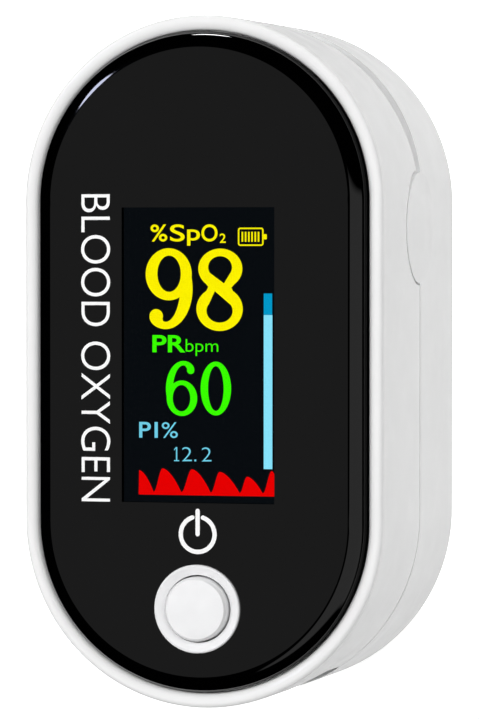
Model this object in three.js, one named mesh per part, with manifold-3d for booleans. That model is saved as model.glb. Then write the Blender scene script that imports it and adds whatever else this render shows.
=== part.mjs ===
// Fingertip pulse oximeter: two clam halves on a steel hinge pin, squeezed open at the hinge end.
// Millimetres. +Z up through the display, +Y towards the hinge end, -Y towards the finger mouth.
// The origin is on the table under the middle of the body.
import * as THREE from "three";
import { mergeVertices } from "three/addons/utils/BufferGeometryUtils.js";
import Module from "manifold-3d";

const wasm = await Module();
wasm.setup();

// ---- Driving dimensions -------------------------------------------------------------------

const LENGTH = 62.4;
const WIDTH = 33.6;
const RADIUS = WIDTH / 2; // the outline is a stadium: two half circles joined by straight sides
const ARC_Y = LENGTH / 2 - RADIUS; // where each end's half circle has its centre
const PART_Z = 15.5; // parting plane between the two halves
const RIM_Z = 29.5; // top of the white rim round the lens
const LENS_Z = 30.8; // flat top of the black lens
const WALL = 1.5;
const BEYOND = 40; // farther out than any part of the body
const RIM_INSET = 0.05; // the side wall leans in by this much between the parting plane and the rim
const RIM_WIDTH = 1.45; // white rim between the wall's top and the lens
const RIM_ROUND = { wide: 0.4, tall: 0.45 }; // rounding of the rim's outer edge
const BOTTOM_ROUND = 3;
const PARTING_GAP = 0.25;
const ARC_STEPS = 16;

const HINGE_Y = 12.1;
const HINGE_Z = PART_Z;
const EAR_R = 5.1;
const EAR_GAP = 0.2;
const PIN_R = 1;
const PIN_BORE_R = 1.06;
const PIN_HALF = 15.8;
const KNUCKLE_R = 2.3;
const GAP_UP_DEG = 3; // behind the hinge the upper edge climbs and the lower edge falls, to leave a V
const GAP_DOWN_DEG = 10;

const TUNNEL_Z = 18.2; // middle height of the finger tunnel
const TUNNEL_END_Y = 4;
const MOUTH = { wide: 9.3, tall: 4.5, y: -20 }; // half width, half height and inner end of the finger hole
const SENSOR_Y = -14;
const SENSOR_HOLE_R = 2.2; // through a cover, for the light
const SENSOR_BOARD = { half: 3.4, front: SENSOR_Y - 3.4, rear: SENSOR_Y + 3.4 };
const SENSOR_SEAT = 0.3; // play round a sensor board in its cover

const BATTERY_R = 5.25; // AAA cell
const BATTERY_LENGTH = 44.5;
const BATTERY_X = 5.4;
const BATTERY_Z = 7.2;

const BUTTON_Y = -22.1;
const BUTTON_R = 2.9;

const SCREW_X = 13.35;
const SCREW_YS = [-12, 3.4];
const SCREW_HOLE_R = 0.85;
const SCREW_HEAD_ROOM_R = 1.8;
const BOSS_R = 1.5;
const PILOT_R = 0.75;

// ---- Solids -------------------------------------------------------------------------------

function solidOf(geometry) {
  const plain = geometry.clone();
  plain.deleteAttribute("normal");
  plain.deleteAttribute("uv");
  const merged = mergeVertices(plain, 1e-4);
  return new wasm.Manifold(
    new wasm.Mesh({
      numProp: 3,
      vertProperties: new Float32Array(merged.attributes.position.array),
      triVerts: new Uint32Array(merged.index.array),
    }),
  );
}

function geometryOf(solid) {
  const mesh = solid.getMesh();
  return new THREE.BufferGeometry()
    .setAttribute("position", new THREE.BufferAttribute(mesh.vertProperties, 3))
    .setIndex(new THREE.BufferAttribute(mesh.triVerts, 1));
}

// A closed skin over rings of equally many points, each ring convex, the ends capped from their middles.
// The rings run anticlockwise seen from the end that they advance towards.
function skin(rings) {
  const count = rings[0].length;
  const points = rings.flat();
  const faces = [];
  for (let level = 0; level < rings.length - 1; level++)
    for (let i = 0; i < count; i++) {
      const a = level * count + i;
      const b = level * count + ((i + 1) % count);
      faces.push(a, b, b + count, a, b + count, a + count);
    }
  for (const [ring, start, up] of [
    [rings[0], 0, false],
    [rings.at(-1), (rings.length - 1) * count, true],
  ]) {
    const middle = new THREE.Vector3();
    ring.forEach((p) => middle.addScaledVector(p, 1 / count));
    const hub = points.push(middle) - 1;
    for (let i = 0; i < count; i++) {
      const a = start + i;
      const b = start + ((i + 1) % count);
      faces.push(...(up ? [a, b, hub] : [b, a, hub]));
    }
  }
  const geometry = new THREE.BufferGeometry().setFromPoints(points);
  geometry.setIndex(faces);
  return solidOf(geometry);
}

// One stadium ring: the outline whose ends have radius r, at height z.
function stadiumRing(r, z) {
  const ring = [];
  for (const [centre, from] of [
    [ARC_Y, 0],
    [-ARC_Y, Math.PI],
  ])
    for (let i = 0; i <= ARC_STEPS; i++) {
      const angle = from + (Math.PI * i) / ARC_STEPS;
      ring.push(new THREE.Vector3(r * Math.cos(angle), centre + r * Math.sin(angle), z));
    }
  return ring;
}

// A stadium-shaped solid through [radius, height] levels.
const stadium = (...levels) => skin(levels.map(([r, z]) => stadiumRing(r, z)));

// Levels of a quarter-round edge, from the wall at radius r up or down to the face at height z.
function roundEdge(r, z, wide, tall, steps) {
  const levels = [];
  for (let i = 0; i <= steps; i++) {
    const angle = (Math.PI / 2) * (i / steps);
    levels.push([r - wide * (1 - Math.cos(angle)), z - tall * (1 - Math.sin(angle))]);
  }
  return levels;
}

function box(x0, x1, y0, y1, z0, z1) {
  const geometry = new THREE.BoxGeometry(x1 - x0, y1 - y0, z1 - z0);
  return solidOf(geometry.translate((x0 + x1) / 2, (y0 + y1) / 2, (z0 + z1) / 2));
}

function upright(r, x, y, z0, z1, sides = 20) {
  const geometry = new THREE.CylinderGeometry(r, r, z1 - z0, sides);
  return solidOf(geometry.rotateX(Math.PI / 2).translate(x, y, (z0 + z1) / 2));
}

function acrossX(r, x0, x1, y, z, sides = 20) {
  const geometry = new THREE.CylinderGeometry(r, r, x1 - x0, sides);
  return solidOf(geometry.rotateZ(Math.PI / 2).translate((x0 + x1) / 2, y, z));
}

function alongY(r, x, y0, y1, z, sides = 20) {
  return solidOf(new THREE.CylinderGeometry(r, r, y1 - y0, sides).translate(x, (y0 + y1) / 2, z));
}

// A turned piece about a vertical axis, from [radius, height] points that close on the axis.
function turned(profile, x, y, sides = 24) {
  const points = profile.map(([r, z]) => new THREE.Vector2(r, z));
  const geometry = new THREE.LatheGeometry(points, sides);
  return solidOf(geometry.rotateX(Math.PI / 2).translate(x, y, 0));
}

// A round wire along a curve.
function wire(curve, r, steps, sides = 6) {
  const section = new THREE.Shape();
  for (let i = 0; i < sides; i++) {
    const angle = (2 * Math.PI * i) / sides;
    const at = [r * Math.cos(angle), r * Math.sin(angle)];
    if (i) section.lineTo(...at);
    else section.moveTo(...at);
  }
  section.closePath();
  return solidOf(new THREE.ExtrudeGeometry(section, { steps, extrudePath: curve }));
}

// An oval ring across the finger tunnel at distance y: a superellipse about the tunnel's middle height.
function ovalRing(halfWidth, halfHeight, y, power, points = 32) {
  const ring = [];
  for (let i = 0; i < points; i++) {
    const angle = (-2 * Math.PI * i) / points;
    const [c, s] = [Math.cos(angle), Math.sin(angle)];
    const x = halfWidth * Math.sign(c) * Math.abs(c) ** (2 / power);
    const z = TUNNEL_Z + halfHeight * Math.sign(s) * Math.abs(s) ** (2 / power);
    ring.push(new THREE.Vector3(x, y, z));
  }
  return ring;
}

const oval = (power, ...levels) => skin(levels.map(([w, h, y]) => ovalRing(w, h, y, power)));

const union = (...solids) => solids.reduce((a, b) => a.add(b));
const screwPlaces = () => [1, -1].flatMap((side) => SCREW_YS.map((y) => [side * SCREW_X, y]));
const atScrews = (r, z0, z1) => union(...screwPlaces().map(([x, y]) => upright(r, x, y, z0, z1, 12)));
const bothSides = (make) => union(make(1), make(-1));

// ---- Materials ----------------------------------------------------------------------------

const finish = (color, roughness, metalness = 0) =>
  new THREE.MeshStandardMaterial({ color, roughness, metalness });

const WHITE = finish(0xe9e9ea, 0.22);
const BLACK_GLOSS = finish(0x0b0b0c, 0.06);
const SCREEN = finish(0x10141a, 0.15);
const BLACK_MATT = finish(0x1b1b1d, 0.6);
const SILICONE = finish(0x2b2d30, 0.7);
const INNER_WHITE = finish(0xdcdcde, 0.45);
const STEEL = finish(0xb9bcc0, 0.3, 1);
const NICKEL = finish(0xc9c6bd, 0.28, 1);
const BOARD = finish(0x1d5b3a, 0.5);
const CHIP = finish(0x16171a, 0.55);
const FLEX = finish(0xa8671f, 0.5);
const EPOXY = finish(0xdfe6ea, 0.1);
const LEAD_RED = finish(0xa3201c, 0.5);
const CELL = finish(0x33619b, 0.35, 0.2);

// ---- Outer shells -------------------------------------------------------------------------

const RIM_R = RADIUS - RIM_INSET;
const LENS_R = RIM_R - RIM_WIDTH;
const LEDGE_Z = 28; // the lens is bonded to this ledge
const LENS_UNDER = LEDGE_Z + 0.3;
const BASE_THICK = 2.4;

// The whole body's outside, from the table to the rim.
function bodyOutside(grow = 0) {
  const foot = roundEdge(RADIUS + grow, 0, BOTTOM_ROUND, -BOTTOM_ROUND, 5).reverse();
  const top = roundEdge(RIM_R + grow, RIM_Z, RIM_ROUND.wide, RIM_ROUND.tall, 3);
  return stadium(...foot, [RADIUS + grow, PART_Z], ...top);
}

// Everything above the line that divides the halves, or below it: flat in front, a V behind the hinge.
function halfSpace(side) {
  const far = 60;
  const flat = HINGE_Z + (side * PARTING_GAP) / 2;
  const slope = Math.tan(THREE.MathUtils.degToRad(side > 0 ? GAP_UP_DEG : GAP_DOWN_DEG));
  const outline = new THREE.Shape();
  outline.moveTo(-far, flat);
  outline.lineTo(HINGE_Y, flat);
  outline.lineTo(HINGE_Y + far, flat + side * slope * far);
  outline.lineTo(HINGE_Y + far, flat + side * far);
  outline.lineTo(-far, flat + side * far);
  outline.closePath();
  const geometry = new THREE.ExtrudeGeometry(outline, { depth: 2 * far, bevelEnabled: false });
  // The shape's x runs along +Y and its y along +Z, so the extrusion runs along +X.
  const turn = new THREE.Matrix4().makeBasis(
    new THREE.Vector3(0, 1, 0),
    new THREE.Vector3(0, 0, 1),
    new THREE.Vector3(1, 0, 0),
  );
  return solidOf(geometry.applyMatrix4(turn).translate(-far, 0, 0));
}

// The oval hole for the finger and its pads, through the front wall of both shells.
const fingerArch = () =>
  oval(4, [MOUTH.wide, MOUTH.tall, -BEYOND], [MOUTH.wide, MOUTH.tall, MOUTH.y]);

function upperShell() {
  const ledgeUnder = LEDGE_Z - 1.3;
  const inside = stadium([RADIUS - WALL, PART_Z - 10], [RIM_R - WALL, ledgeUnder]);
  const ledgeHole = stadium([LENS_R - 2.2, ledgeUnder - 1], [LENS_R - 2.2, RIM_Z + 1]);
  const lensSeat = stadium([LENS_R + 0.12, LEDGE_Z], [LENS_R + 0.12, RIM_Z + 1]);
  const notch = acrossX(EAR_R + EAR_GAP, -20, 20, HINGE_Y, HINGE_Z, 32);
  const bosses = atScrews(BOSS_R, UPPER_PLATE_Z[1] + 0.1, ledgeUnder + 0.5);
  const pilots = atScrews(PILOT_R, 17, 22.4);
  const mouthBelow = box(-MOUTH.wide, MOUTH.wide, -BEYOND, MOUTH.y, PART_Z - 5, TUNNEL_Z);
  return bodyOutside()
    .intersect(halfSpace(1))
    .subtract(inside)
    .subtract(ledgeHole)
    .subtract(lensSeat)
    .subtract(notch)
    .subtract(fingerArch())
    .subtract(mouthBelow)
    .add(bosses)
    .subtract(pilots);
}

const DOOR_HALF = 11.3;
const DOOR_TONGUE = 12.2;
const DOOR_TOP = 1.5;
const DOOR_TONGUE_Z = 0.9; // underside of the tongues
const DOOR_FRONT_Y = -22.8;
const BAY_FRONT_Y = -25.3;
const BAY_REAR_Y = 24.3;
const BAY_HALF = 11;
const RIB = { half: 10.6, thick: 1, top: 12.2 }; // the wall at each end of the bay
const LANYARD_HOLE = { r: 1.1, x: 2.5, z: 7.4 };
const PLAY = 0.12; // running clearance round the door

const EAR_INNER_X = 12.9; // the ear's boss reaches in to here, just outside the knuckle

// The ear that carries one end of the hinge pin: a slightly domed disc flush with the side wall.
function ear(side) {
  const dome = [
    [0, RADIUS + 0.3],
    [2.6, RADIUS + 0.22],
    [4.1, RADIUS + 0.08],
    [EAR_R, RADIUS - 0.14],
    [EAR_R, RADIUS - WALL - 0.3],
    [0, RADIUS - WALL - 0.3],
  ].map(([r, x]) => new THREE.Vector2(r, x));
  const disc = new THREE.LatheGeometry(dome.reverse(), 32).rotateZ((-side * Math.PI) / 2);
  return solidOf(disc.translate(0, HINGE_Y, HINGE_Z)).add(
    side > 0
      ? acrossX(KNUCKLE_R, EAR_INNER_X, RADIUS - WALL, HINGE_Y, HINGE_Z)
      : acrossX(KNUCKLE_R, WALL - RADIUS, -EAR_INNER_X, HINGE_Y, HINGE_Z),
  );
}

// The way that the door slides in and out: its plate and tongues, through the rear end.
const doorWay = () =>
  union(
    box(-DOOR_HALF - PLAY, DOOR_HALF + PLAY, DOOR_FRONT_Y - PLAY, BEYOND, -1, DOOR_TOP + PLAY),
    box(
      -DOOR_TONGUE - PLAY,
      DOOR_TONGUE + PLAY,
      DOOR_FRONT_Y - PLAY,
      BEYOND,
      DOOR_TONGUE_Z - PLAY,
      DOOR_TOP + PLAY,
    ),
  );

function lowerShell() {
  const inner = RADIUS - WALL;
  const round = BOTTOM_ROUND - WALL;
  const floor = roundEdge(inner, BASE_THICK, round, -round, 3).reverse();
  const inside = stadium(...floor, [inner, PART_Z + 10]);
  const bay = box(-BAY_HALF, BAY_HALF, BAY_FRONT_Y, BAY_REAR_Y, 0.5, 12);
  const rib = (y0, y1) => box(-RIB.half, RIB.half, y0, y1, BASE_THICK - 0.5, RIB.top);
  const ribs = union(
    rib(BAY_FRONT_Y - RIB.thick, BAY_FRONT_Y),
    rib(BAY_REAR_Y, BAY_REAR_Y + RIB.thick),
  );
  const bosses = atScrews(BOSS_R, BASE_THICK - 0.4, LOWER_PLATE_Z[0] - 0.1);
  const pilots = atScrews(PILOT_R, 8.3, 14.2);
  const lanyardHoles = bothSides((side) =>
    alongY(LANYARD_HOLE.r, side * LANYARD_HOLE.x, 26.5, BEYOND, LANYARD_HOLE.z, 12),
  );
  return bodyOutside()
    .intersect(halfSpace(-1))
    .subtract(inside)
    .add(ribs.intersect(bodyOutside(-0.5)))
    .add(bosses)
    .add(bothSides(ear))
    .subtract(bay)
    .subtract(doorWay())
    .subtract(pilots)
    .subtract(fingerArch())
    .subtract(lanyardHoles)
    .subtract(acrossX(PIN_BORE_R, -PIN_HALF - 0.1, PIN_HALF + 0.1, HINGE_Y, HINGE_Z));
}

function batteryDoor() {
  const plate = box(-DOOR_HALF, DOOR_HALF, DOOR_FRONT_Y, BEYOND, -1, DOOR_TOP);
  const tongues = box(-DOOR_TONGUE, DOOR_TONGUE, DOOR_FRONT_Y, BEYOND, DOOR_TONGUE_Z, DOOR_TOP);
  return union(plate, tongues).intersect(bodyOutside());
}

// ---- Lens, window and button --------------------------------------------------------------

const WINDOW_SIZE = [14.25, 26.1];
const WINDOW_Y = 0.65;
const LENS_EDGE = 1.5;
const LENS_PLATE = 0.7; // thickness over the display
const DISPLAY_TOP = LENS_Z - LENS_PLATE - 0.1;
const DISPLAY_THICK = 2.6;
const RING_SEAT_R = 3.7;
const RING_R = 3.98;
const RING_BORE = 3.05;

function windowBlock(gap, z0, z1) {
  const [w, l] = WINDOW_SIZE.map((size) => size / 2 + gap);
  return box(-w, w, WINDOW_Y - l, WINDOW_Y + l, z0, z1);
}

// One clear moulding, printed black inside except over the display, which sits in its pocket.
function faceLens() {
  const edge = roundEdge(LENS_R, LENS_Z, LENS_EDGE, LENS_Z - RIM_Z, 5);
  const buttonHole = upright(RING_SEAT_R + 0.05, 0, BUTTON_Y, LENS_UNDER - 1, LENS_Z + 1, 32);
  const pocket = windowBlock(2, LENS_UNDER - 1, LENS_Z - LENS_PLATE);
  return stadium([LENS_R, LENS_UNDER], ...edge).subtract(buttonHole).subtract(pocket);
}

// The thin ring of adhesive that holds the lens on its ledge.
function lensAdhesive() {
  const [under, top] = [LEDGE_Z + 0.03, LENS_UNDER - 0.03];
  const hole = stadium([LENS_R - 2, under - 1], [LENS_R - 2, top + 1]);
  return stadium([LENS_R - 0.3, under], [LENS_R - 0.3, top]).subtract(hole);
}

const buttonRing = () =>
  turned(
    [
      [RING_BORE, LENS_UNDER],
      [RING_SEAT_R, LENS_UNDER],
      [RING_SEAT_R, LENS_Z],
      [RING_R, LENS_Z + 0.02],
      [RING_R, LENS_Z + 0.3],
      [RING_R - 0.13, LENS_Z + 0.42],
      [RING_BORE + 0.25, LENS_Z + 0.2],
      [RING_BORE, LENS_Z],
      [RING_BORE, LENS_UNDER],
    ],
    0,
    BUTTON_Y,
    32,
  );

const BOARD_Z = [24.2, 25.2];
const SWITCH_TOP = BOARD_Z[1] + 1.2;
const PLUNGER_TOP = SWITCH_TOP + 0.6;
const FLANGE_Z = [PLUNGER_TOP + 0.25, PLUNGER_TOP + 0.85];

// Cap, retaining flange and stem in one moulding; it travels down by its own stroke.
const buttonCap = () =>
  turned(
    [
      [0, PLUNGER_TOP + 0.05],
      [1.2, PLUNGER_TOP + 0.05],
      [1.2, FLANGE_Z[0]],
      [3.6, FLANGE_Z[0]],
      [3.6, FLANGE_Z[1]],
      [BUTTON_R, FLANGE_Z[1]],
      [BUTTON_R, LENS_Z + 0.62],
      [BUTTON_R - 0.12, LENS_Z + 0.82],
      [BUTTON_R - 0.35, LENS_Z + 0.9],
      [0, LENS_Z + 0.95],
    ],
    0,
    BUTTON_Y,
    32,
  );

// ---- Inner covers and finger pads ---------------------------------------------------------

const LOWER_PLATE_Z = [13.6, 14.5];
const UPPER_PLATE_Z = [16.4, 17.3];
const ROOF_Z = [22.6, 23.5];
const COVER_R = RADIUS - WALL - 0.3;
const FRONT_END_Y = 6;
const REAR_FROM_Y = 17.6; // the covers' rear parts lie behind the hinge opening
const LIP_R = 14.4;
const LIP_THICK = 0.8;
const TROUGH = { half: 10.2, hollow: 9.2, front: -31, floor: 12.7, top: 17.4, within: 14.6 };
const BRIDGE = { half: 5, from: 5, to: REAR_FROM_Y }; // joins the front plate to the rear one

// Slots for the flat cable and for the two battery leads, cut through both covers.
const flexSlot = (y0, y1, z0, z1) => box(-2.9, 2.9, y0, y1, z0, z1);
const leadSlot = (y0, y1, z0, z1) => box(-2, 2, y0, y1, z0, z1);

// The recess in a cover that a sensor board lies in.
const sensorSeat = (z0, z1) =>
  box(
    -SENSOR_BOARD.half - SENSOR_SEAT,
    SENSOR_BOARD.half + SENSOR_SEAT,
    SENSOR_BOARD.front - SENSOR_SEAT,
    SENSOR_BOARD.rear + SENSOR_SEAT,
    z0,
    z1,
  );

// What of the body lies between two distances along it.
const between = (y0, y1, z0, z1) => box(-20, 20, y0, y1, z0, z1);

// An upstanding lip round the edge of a cover, which closes the gap between the halves from inside.
function lip(r, z0, z1) {
  const hole = stadium([r - LIP_THICK, z0 - 1], [r - LIP_THICK, z1 + 1]);
  return stadium([r, z0], [r, z1]).subtract(hole);
}

function lowerCradle() {
  const [bottom, top] = LOWER_PLATE_Z;
  const rearFrom = REAR_FROM_Y - 1;
  const plate = stadium([COVER_R, bottom], [COVER_R, top]).intersect(between(-BEYOND, 8, bottom, top));
  const rearEnd = between(rearFrom, BEYOND, bottom, top);
  const rearPlate = stadium([LIP_R, bottom], [LIP_R, top]).intersect(rearEnd);
  const rearLip = lip(LIP_R, 12.2, 17.6).intersect(between(REAR_FROM_Y + 0.8, BEYOND, 12, 18));
  const frontLip = lip(COVER_R - 0.2, bottom, 15.9).intersect(between(-BEYOND, 7, 12, 18));
  const troughEnd = stadium([TROUGH.within, 5], [TROUGH.within, BEYOND]);
  const trough = box(
    -TROUGH.half,
    TROUGH.half,
    TROUGH.front,
    FRONT_END_Y,
    TROUGH.floor,
    TROUGH.top,
  ).intersect(troughEnd);
  const troughHollow = box(
    -TROUGH.hollow,
    TROUGH.hollow,
    -BEYOND,
    TUNNEL_END_Y + 0.3,
    bottom,
    TUNNEL_Z + 2,
  );
  const bridge = union(
    box(-BRIDGE.half, BRIDGE.half, BRIDGE.from, BRIDGE.to, TROUGH.floor, bottom),
    box(-BRIDGE.half, BRIDGE.half, rearFrom, BRIDGE.to, TROUGH.floor, top),
  );
  return union(plate, trough, frontLip)
    .subtract(troughHollow)
    .add(bridge)
    .add(rearPlate)
    .add(rearLip)
    .subtract(flexSlot(6.6, 7.9, 10, 20))
    .subtract(leadSlot(14.4, 15.8, 10, 20))
    .subtract(sensorSeat(12, 13.1))
    .subtract(upright(SENSOR_HOLE_R, 0, SENSOR_Y, 12, 16, 16))
    .subtract(atScrews(SCREW_HEAD_ROOM_R, top, 17))
    .subtract(atScrews(SCREW_HOLE_R, 13, 16));
}

const KNUCKLE_X = [11.2, 12.6];

// A knuckle of the upper cover on the hinge pin, and the web that carries it.
function knuckle(side) {
  const [x0, x1] = side > 0 ? KNUCKLE_X : [-KNUCKLE_X[1], -KNUCKLE_X[0]];
  const web = box(x0, x1, HINGE_Y - KNUCKLE_R, HINGE_Y + KNUCKLE_R, HINGE_Z, ROOF_Z[0] + 0.1);
  return acrossX(KNUCKLE_R, x0, x1, HINGE_Y, HINGE_Z).add(web);
}

function upperCradle() {
  const inside = COVER_R - 0.2;
  const [hollowHalf, wall] = [10.6, 1];
  const frontLimit = stadium([inside, 5], [inside, BEYOND]);
  const roof = stadium([inside, ROOF_Z[0]], [inside, ROOF_Z[1]]);
  const sidePlate = between(-BEYOND, FRONT_END_Y, ...UPPER_PLATE_Z);
  const trough = box(
    -hollowHalf - wall,
    hollowHalf + wall,
    -BEYOND,
    FRONT_END_Y,
    UPPER_PLATE_Z[0],
    ROOF_Z[0] + 0.1,
  );
  const hollow = box(-hollowHalf, hollowHalf, -50, TUNNEL_END_Y + 1, 10, ROOF_Z[0]);
  // The tunnel's end wall stops short of the lower cover's.
  const stopHollow = box(-hollowHalf, hollowHalf, TUNNEL_END_Y, FRONT_END_Y + 1, 10, 18.3);
  return union(sidePlate, trough)
    .subtract(hollow)
    .subtract(stopHollow)
    .intersect(frontLimit)
    .add(roof)
    .add(bothSides(knuckle))
    .subtract(acrossX(PIN_BORE_R, -BEYOND, BEYOND, HINGE_Y, HINGE_Z))
    .subtract(atScrews(BOSS_R + 0.2, UPPER_PLATE_Z[1], 30))
    .subtract(atScrews(SCREW_HOLE_R, 15, 18))
    .subtract(flexSlot(6.6, 8.9, 20, 25))
    .subtract(leadSlot(13.6, 17, 20, 25))
    .subtract(sensorSeat(ROOF_Z[1] - 0.4, 24))
    .subtract(upright(SENSOR_HOLE_R, 0, SENSOR_Y, 20, 24, 16));
}

// One silicone pad: half of an oval block with the finger tunnel through it.
function pad(side) {
  const gap = 0.15;
  const upper = side > 0;
  const block = oval(3.2, [9, 4.2, -31], [9, 4.2, TUNNEL_END_Y]);
  const tunnel = oval(2.4, [8.2, 3.5, -33], [7, 2.75, -26], [6.7, 2.6, 2.4]);
  const [halfFrom, halfTo] = upper ? [TUNNEL_Z + gap, BEYOND] : [0, TUNNEL_Z - gap];
  const [holeFrom, holeTo] = upper ? [18, BEYOND] : [0, 17];
  const front = stadium([RADIUS - 0.9, 0], [RADIUS - 0.9, BEYOND]);
  return block
    .subtract(tunnel)
    .intersect(between(-60, 60, halfFrom, halfTo))
    .intersect(front)
    .subtract(upright(SENSOR_HOLE_R - 0.1, 0, SENSOR_Y, holeFrom, holeTo, 16));
}

// ---- Screws, hinge pin and springs --------------------------------------------------------

// A self-tapping screw, head down for the upper half and head up for the lower one.
function screw(x, y, headZ, up) {
  const s = up ? 1 : -1;
  const profile = [
    [0, 0],
    [1.3, 0],
    [1.4, 0.2],
    [1.4, 0.75],
    [0.6, 0.75],
    [0.6, 4.9],
    [0, 5.6],
  ].map(([r, z]) => [r, headZ + s * z]);
  const body = turned(up ? profile : profile.reverse(), x, y, 12);
  const depth = [headZ - s, headZ + s * 0.4].sort((a, b) => a - b);
  const slot = union(
    box(x - 0.8, x + 0.8, y - 0.14, y + 0.14, ...depth),
    box(x - 0.14, x + 0.14, y - 0.8, y + 0.8, ...depth),
  );
  return body.subtract(slot);
}

const hingePin = () => acrossX(PIN_R, -PIN_HALF, PIN_HALF, HINGE_Y, HINGE_Z);

// A torsion spring round the pin. Its legs run towards the hinge end: one lies on the lower cover,
// the other presses up under the roof of the upper one.
const COIL_R = 1.6;
const COIL_TURNS = 3.4;
const COIL_PITCH = 0.72;
const COIL_X = 6.6;
const LOW_LEG_DEG = 14;
const LOW_LEG = 6.2;
const HIGH_LEG = 7.4;

function torsionSpring(side) {
  const start = THREE.MathUtils.degToRad(-90 - LOW_LEG_DEG);
  const end = start + 2 * Math.PI * COIL_TURNS;
  const at = (x, y, z) => new THREE.Vector3(side * x, HINGE_Y + y, HINGE_Z + z);
  const onCoil = (angle) => {
    const turns = (angle - start) / (2 * Math.PI);
    return at(COIL_X + COIL_PITCH * turns, -COIL_R * Math.cos(angle), COIL_R * Math.sin(angle));
  };
  // The wire leaves the coil along its tangent at both ends.
  const along = (angle, far) => {
    const tangent = new THREE.Vector3(0, Math.sin(angle), Math.cos(angle));
    return onCoil(angle).addScaledVector(tangent, far);
  };
  const points = [along(start, -LOW_LEG), along(start, -LOW_LEG / 2)];
  const steps = Math.round(COIL_TURNS * 14);
  for (let i = 0; i <= steps; i++) points.push(onCoil(start + ((end - start) * i) / steps));
  points.push(along(end, HIGH_LEG / 2), along(end, HIGH_LEG));
  return wire(new THREE.CatmullRomCurve3(points, false, "centripetal"), 0.28, 56, 5);
}

// ---- Battery compartment ------------------------------------------------------------------

// An AAA cell: can, crimped ends and positive nub. The nub points along +Y or -Y.
function cell(x, nubY, dir) {
  const profile = [
    [0, 0],
    [1.9, 0],
    [1.9, 1],
    [BATTERY_R - 0.6, 1],
    [BATTERY_R, 1.5],
    [BATTERY_R, BATTERY_LENGTH - 0.5],
    [BATTERY_R - 0.6, BATTERY_LENGTH],
    [0, BATTERY_LENGTH],
  ].map(([r, along]) => new THREE.Vector2(r, along));
  const turnedCell = new THREE.LatheGeometry(profile, 20);
  if (dir > 0) turnedCell.rotateX(Math.PI);
  return solidOf(turnedCell.translate(x, nubY, BATTERY_Z));
}

const CONTACT_THICK = 0.3;
const CONTACT_GAP = 0.05;
const FRONT_CONTACT_Y = BAY_FRONT_Y + CONTACT_GAP + CONTACT_THICK;
const REAR_CONTACT_Y = BAY_REAR_Y - CONTACT_GAP - CONTACT_THICK;
const contact = (x0, x1, y0, y1) => box(x0, x1, y0, y1, 3, 11.4);

// A conical contact spring between a plate and a cell's flat end, wide at the plate.
function contactSpring(x, plateY, cellY) {
  const points = [];
  const turns = 3;
  const steps = turns * 12;
  for (let i = 0; i <= steps; i++) {
    const t = i / steps;
    const angle = t * turns * 2 * Math.PI;
    const r = THREE.MathUtils.lerp(3.7, 1.7, t);
    const y = THREE.MathUtils.lerp(plateY, cellY, t);
    points.push(new THREE.Vector3(x + r * Math.cos(angle), y, BATTERY_Z + r * Math.sin(angle)));
  }
  return wire(new THREE.CatmullRomCurve3(points), 0.25, 34, 5);
}

const CELL_GAP = 0.15;
const LEFT_CELL_END = REAR_CONTACT_Y - CELL_GAP - BATTERY_LENGTH;
const RIGHT_CELL_END = FRONT_CONTACT_Y + CELL_GAP + BATTERY_LENGTH;

// ---- Electronics --------------------------------------------------------------------------

function mainBoard() {
  const outline = stadium([12.6, BOARD_Z[0]], [12.6, BOARD_Z[1]]);
  const room = atScrews(BOSS_R + 0.4, 20, 30);
  return outline.subtract(room);
}

// A tray on the board that holds the display up in the lens's pocket.
const displayFrame = () =>
  windowBlock(1.6, BOARD_Z[1] + 0.05, DISPLAY_TOP - 0.4).subtract(
    windowBlock(0.35, DISPLAY_TOP - DISPLAY_THICK - 0.05, LENS_Z),
  );
const displayModule = () => windowBlock(0.2, DISPLAY_TOP - DISPLAY_THICK, DISPLAY_TOP);

const tactSwitch = () =>
  box(-3, 3, BUTTON_Y - 3, BUTTON_Y + 3, BOARD_Z[1], SWITCH_TOP).subtract(
    upright(1.05, 0, BUTTON_Y, SWITCH_TOP - 0.9, SWITCH_TOP + 1, 16),
  );
const switchPlunger = () => upright(0.9, 0, BUTTON_Y, SWITCH_TOP - 0.45, PLUNGER_TOP, 16);

const sensorBoard = (z0, z1) =>
  box(-SENSOR_BOARD.half, SENSOR_BOARD.half, SENSOR_BOARD.front, SENSOR_BOARD.rear, z0, z1);
const SENSOR_CHIP = 1.3;
const sensorChip = (z0, z1) =>
  box(-SENSOR_CHIP, SENSOR_CHIP, SENSOR_Y - SENSOR_CHIP, SENSOR_Y + SENSOR_CHIP, z0, z1);

const curveX = (x, route) => new THREE.CatmullRomCurve3(route.map(([y, z]) => new THREE.Vector3(x, y, z)));

// The flat cable from the detector up to the main board, in front of the hinge pin.
function flexCable() {
  const route = [
    [-10.2, 12.38],
    [-4, 12.38],
    [4, 12.38],
    [6.8, 12.6],
    [7.25, 14.6],
    [6.9, 17.2],
    [7.5, 19.8],
    [7.6, 22.6],
    [7.6, BOARD_Z[0] - 0.2],
  ];
  const [half, thick] = [2.5, 0.1];
  const section = new THREE.Shape();
  section.moveTo(-thick, -half);
  section.lineTo(thick, -half);
  section.lineTo(thick, half);
  section.lineTo(-thick, half);
  section.closePath();
  return solidOf(new THREE.ExtrudeGeometry(section, { steps: 30, extrudePath: curveX(0, route) }));
}

// A supply lead from a battery contact, between the cells' tops, behind the hinge pin, to the main board.
function batteryLead(side) {
  const route = [
    [22.6, 11.7],
    [20, 11.7],
    [16.8, 11.7],
    [15.3, 12.2],
    [15.05, 14],
    [15.1, 18.5],
    [15.2, BOARD_Z[0] - 0.4],
  ];
  return wire(curveX(side * 0.9, route), 0.35, 22);
}

// ---- The assembly -------------------------------------------------------------------------

const lower = new THREE.Group();
const upper = new THREE.Group();
const door = new THREE.Group();
const button = new THREE.Group();

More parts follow.
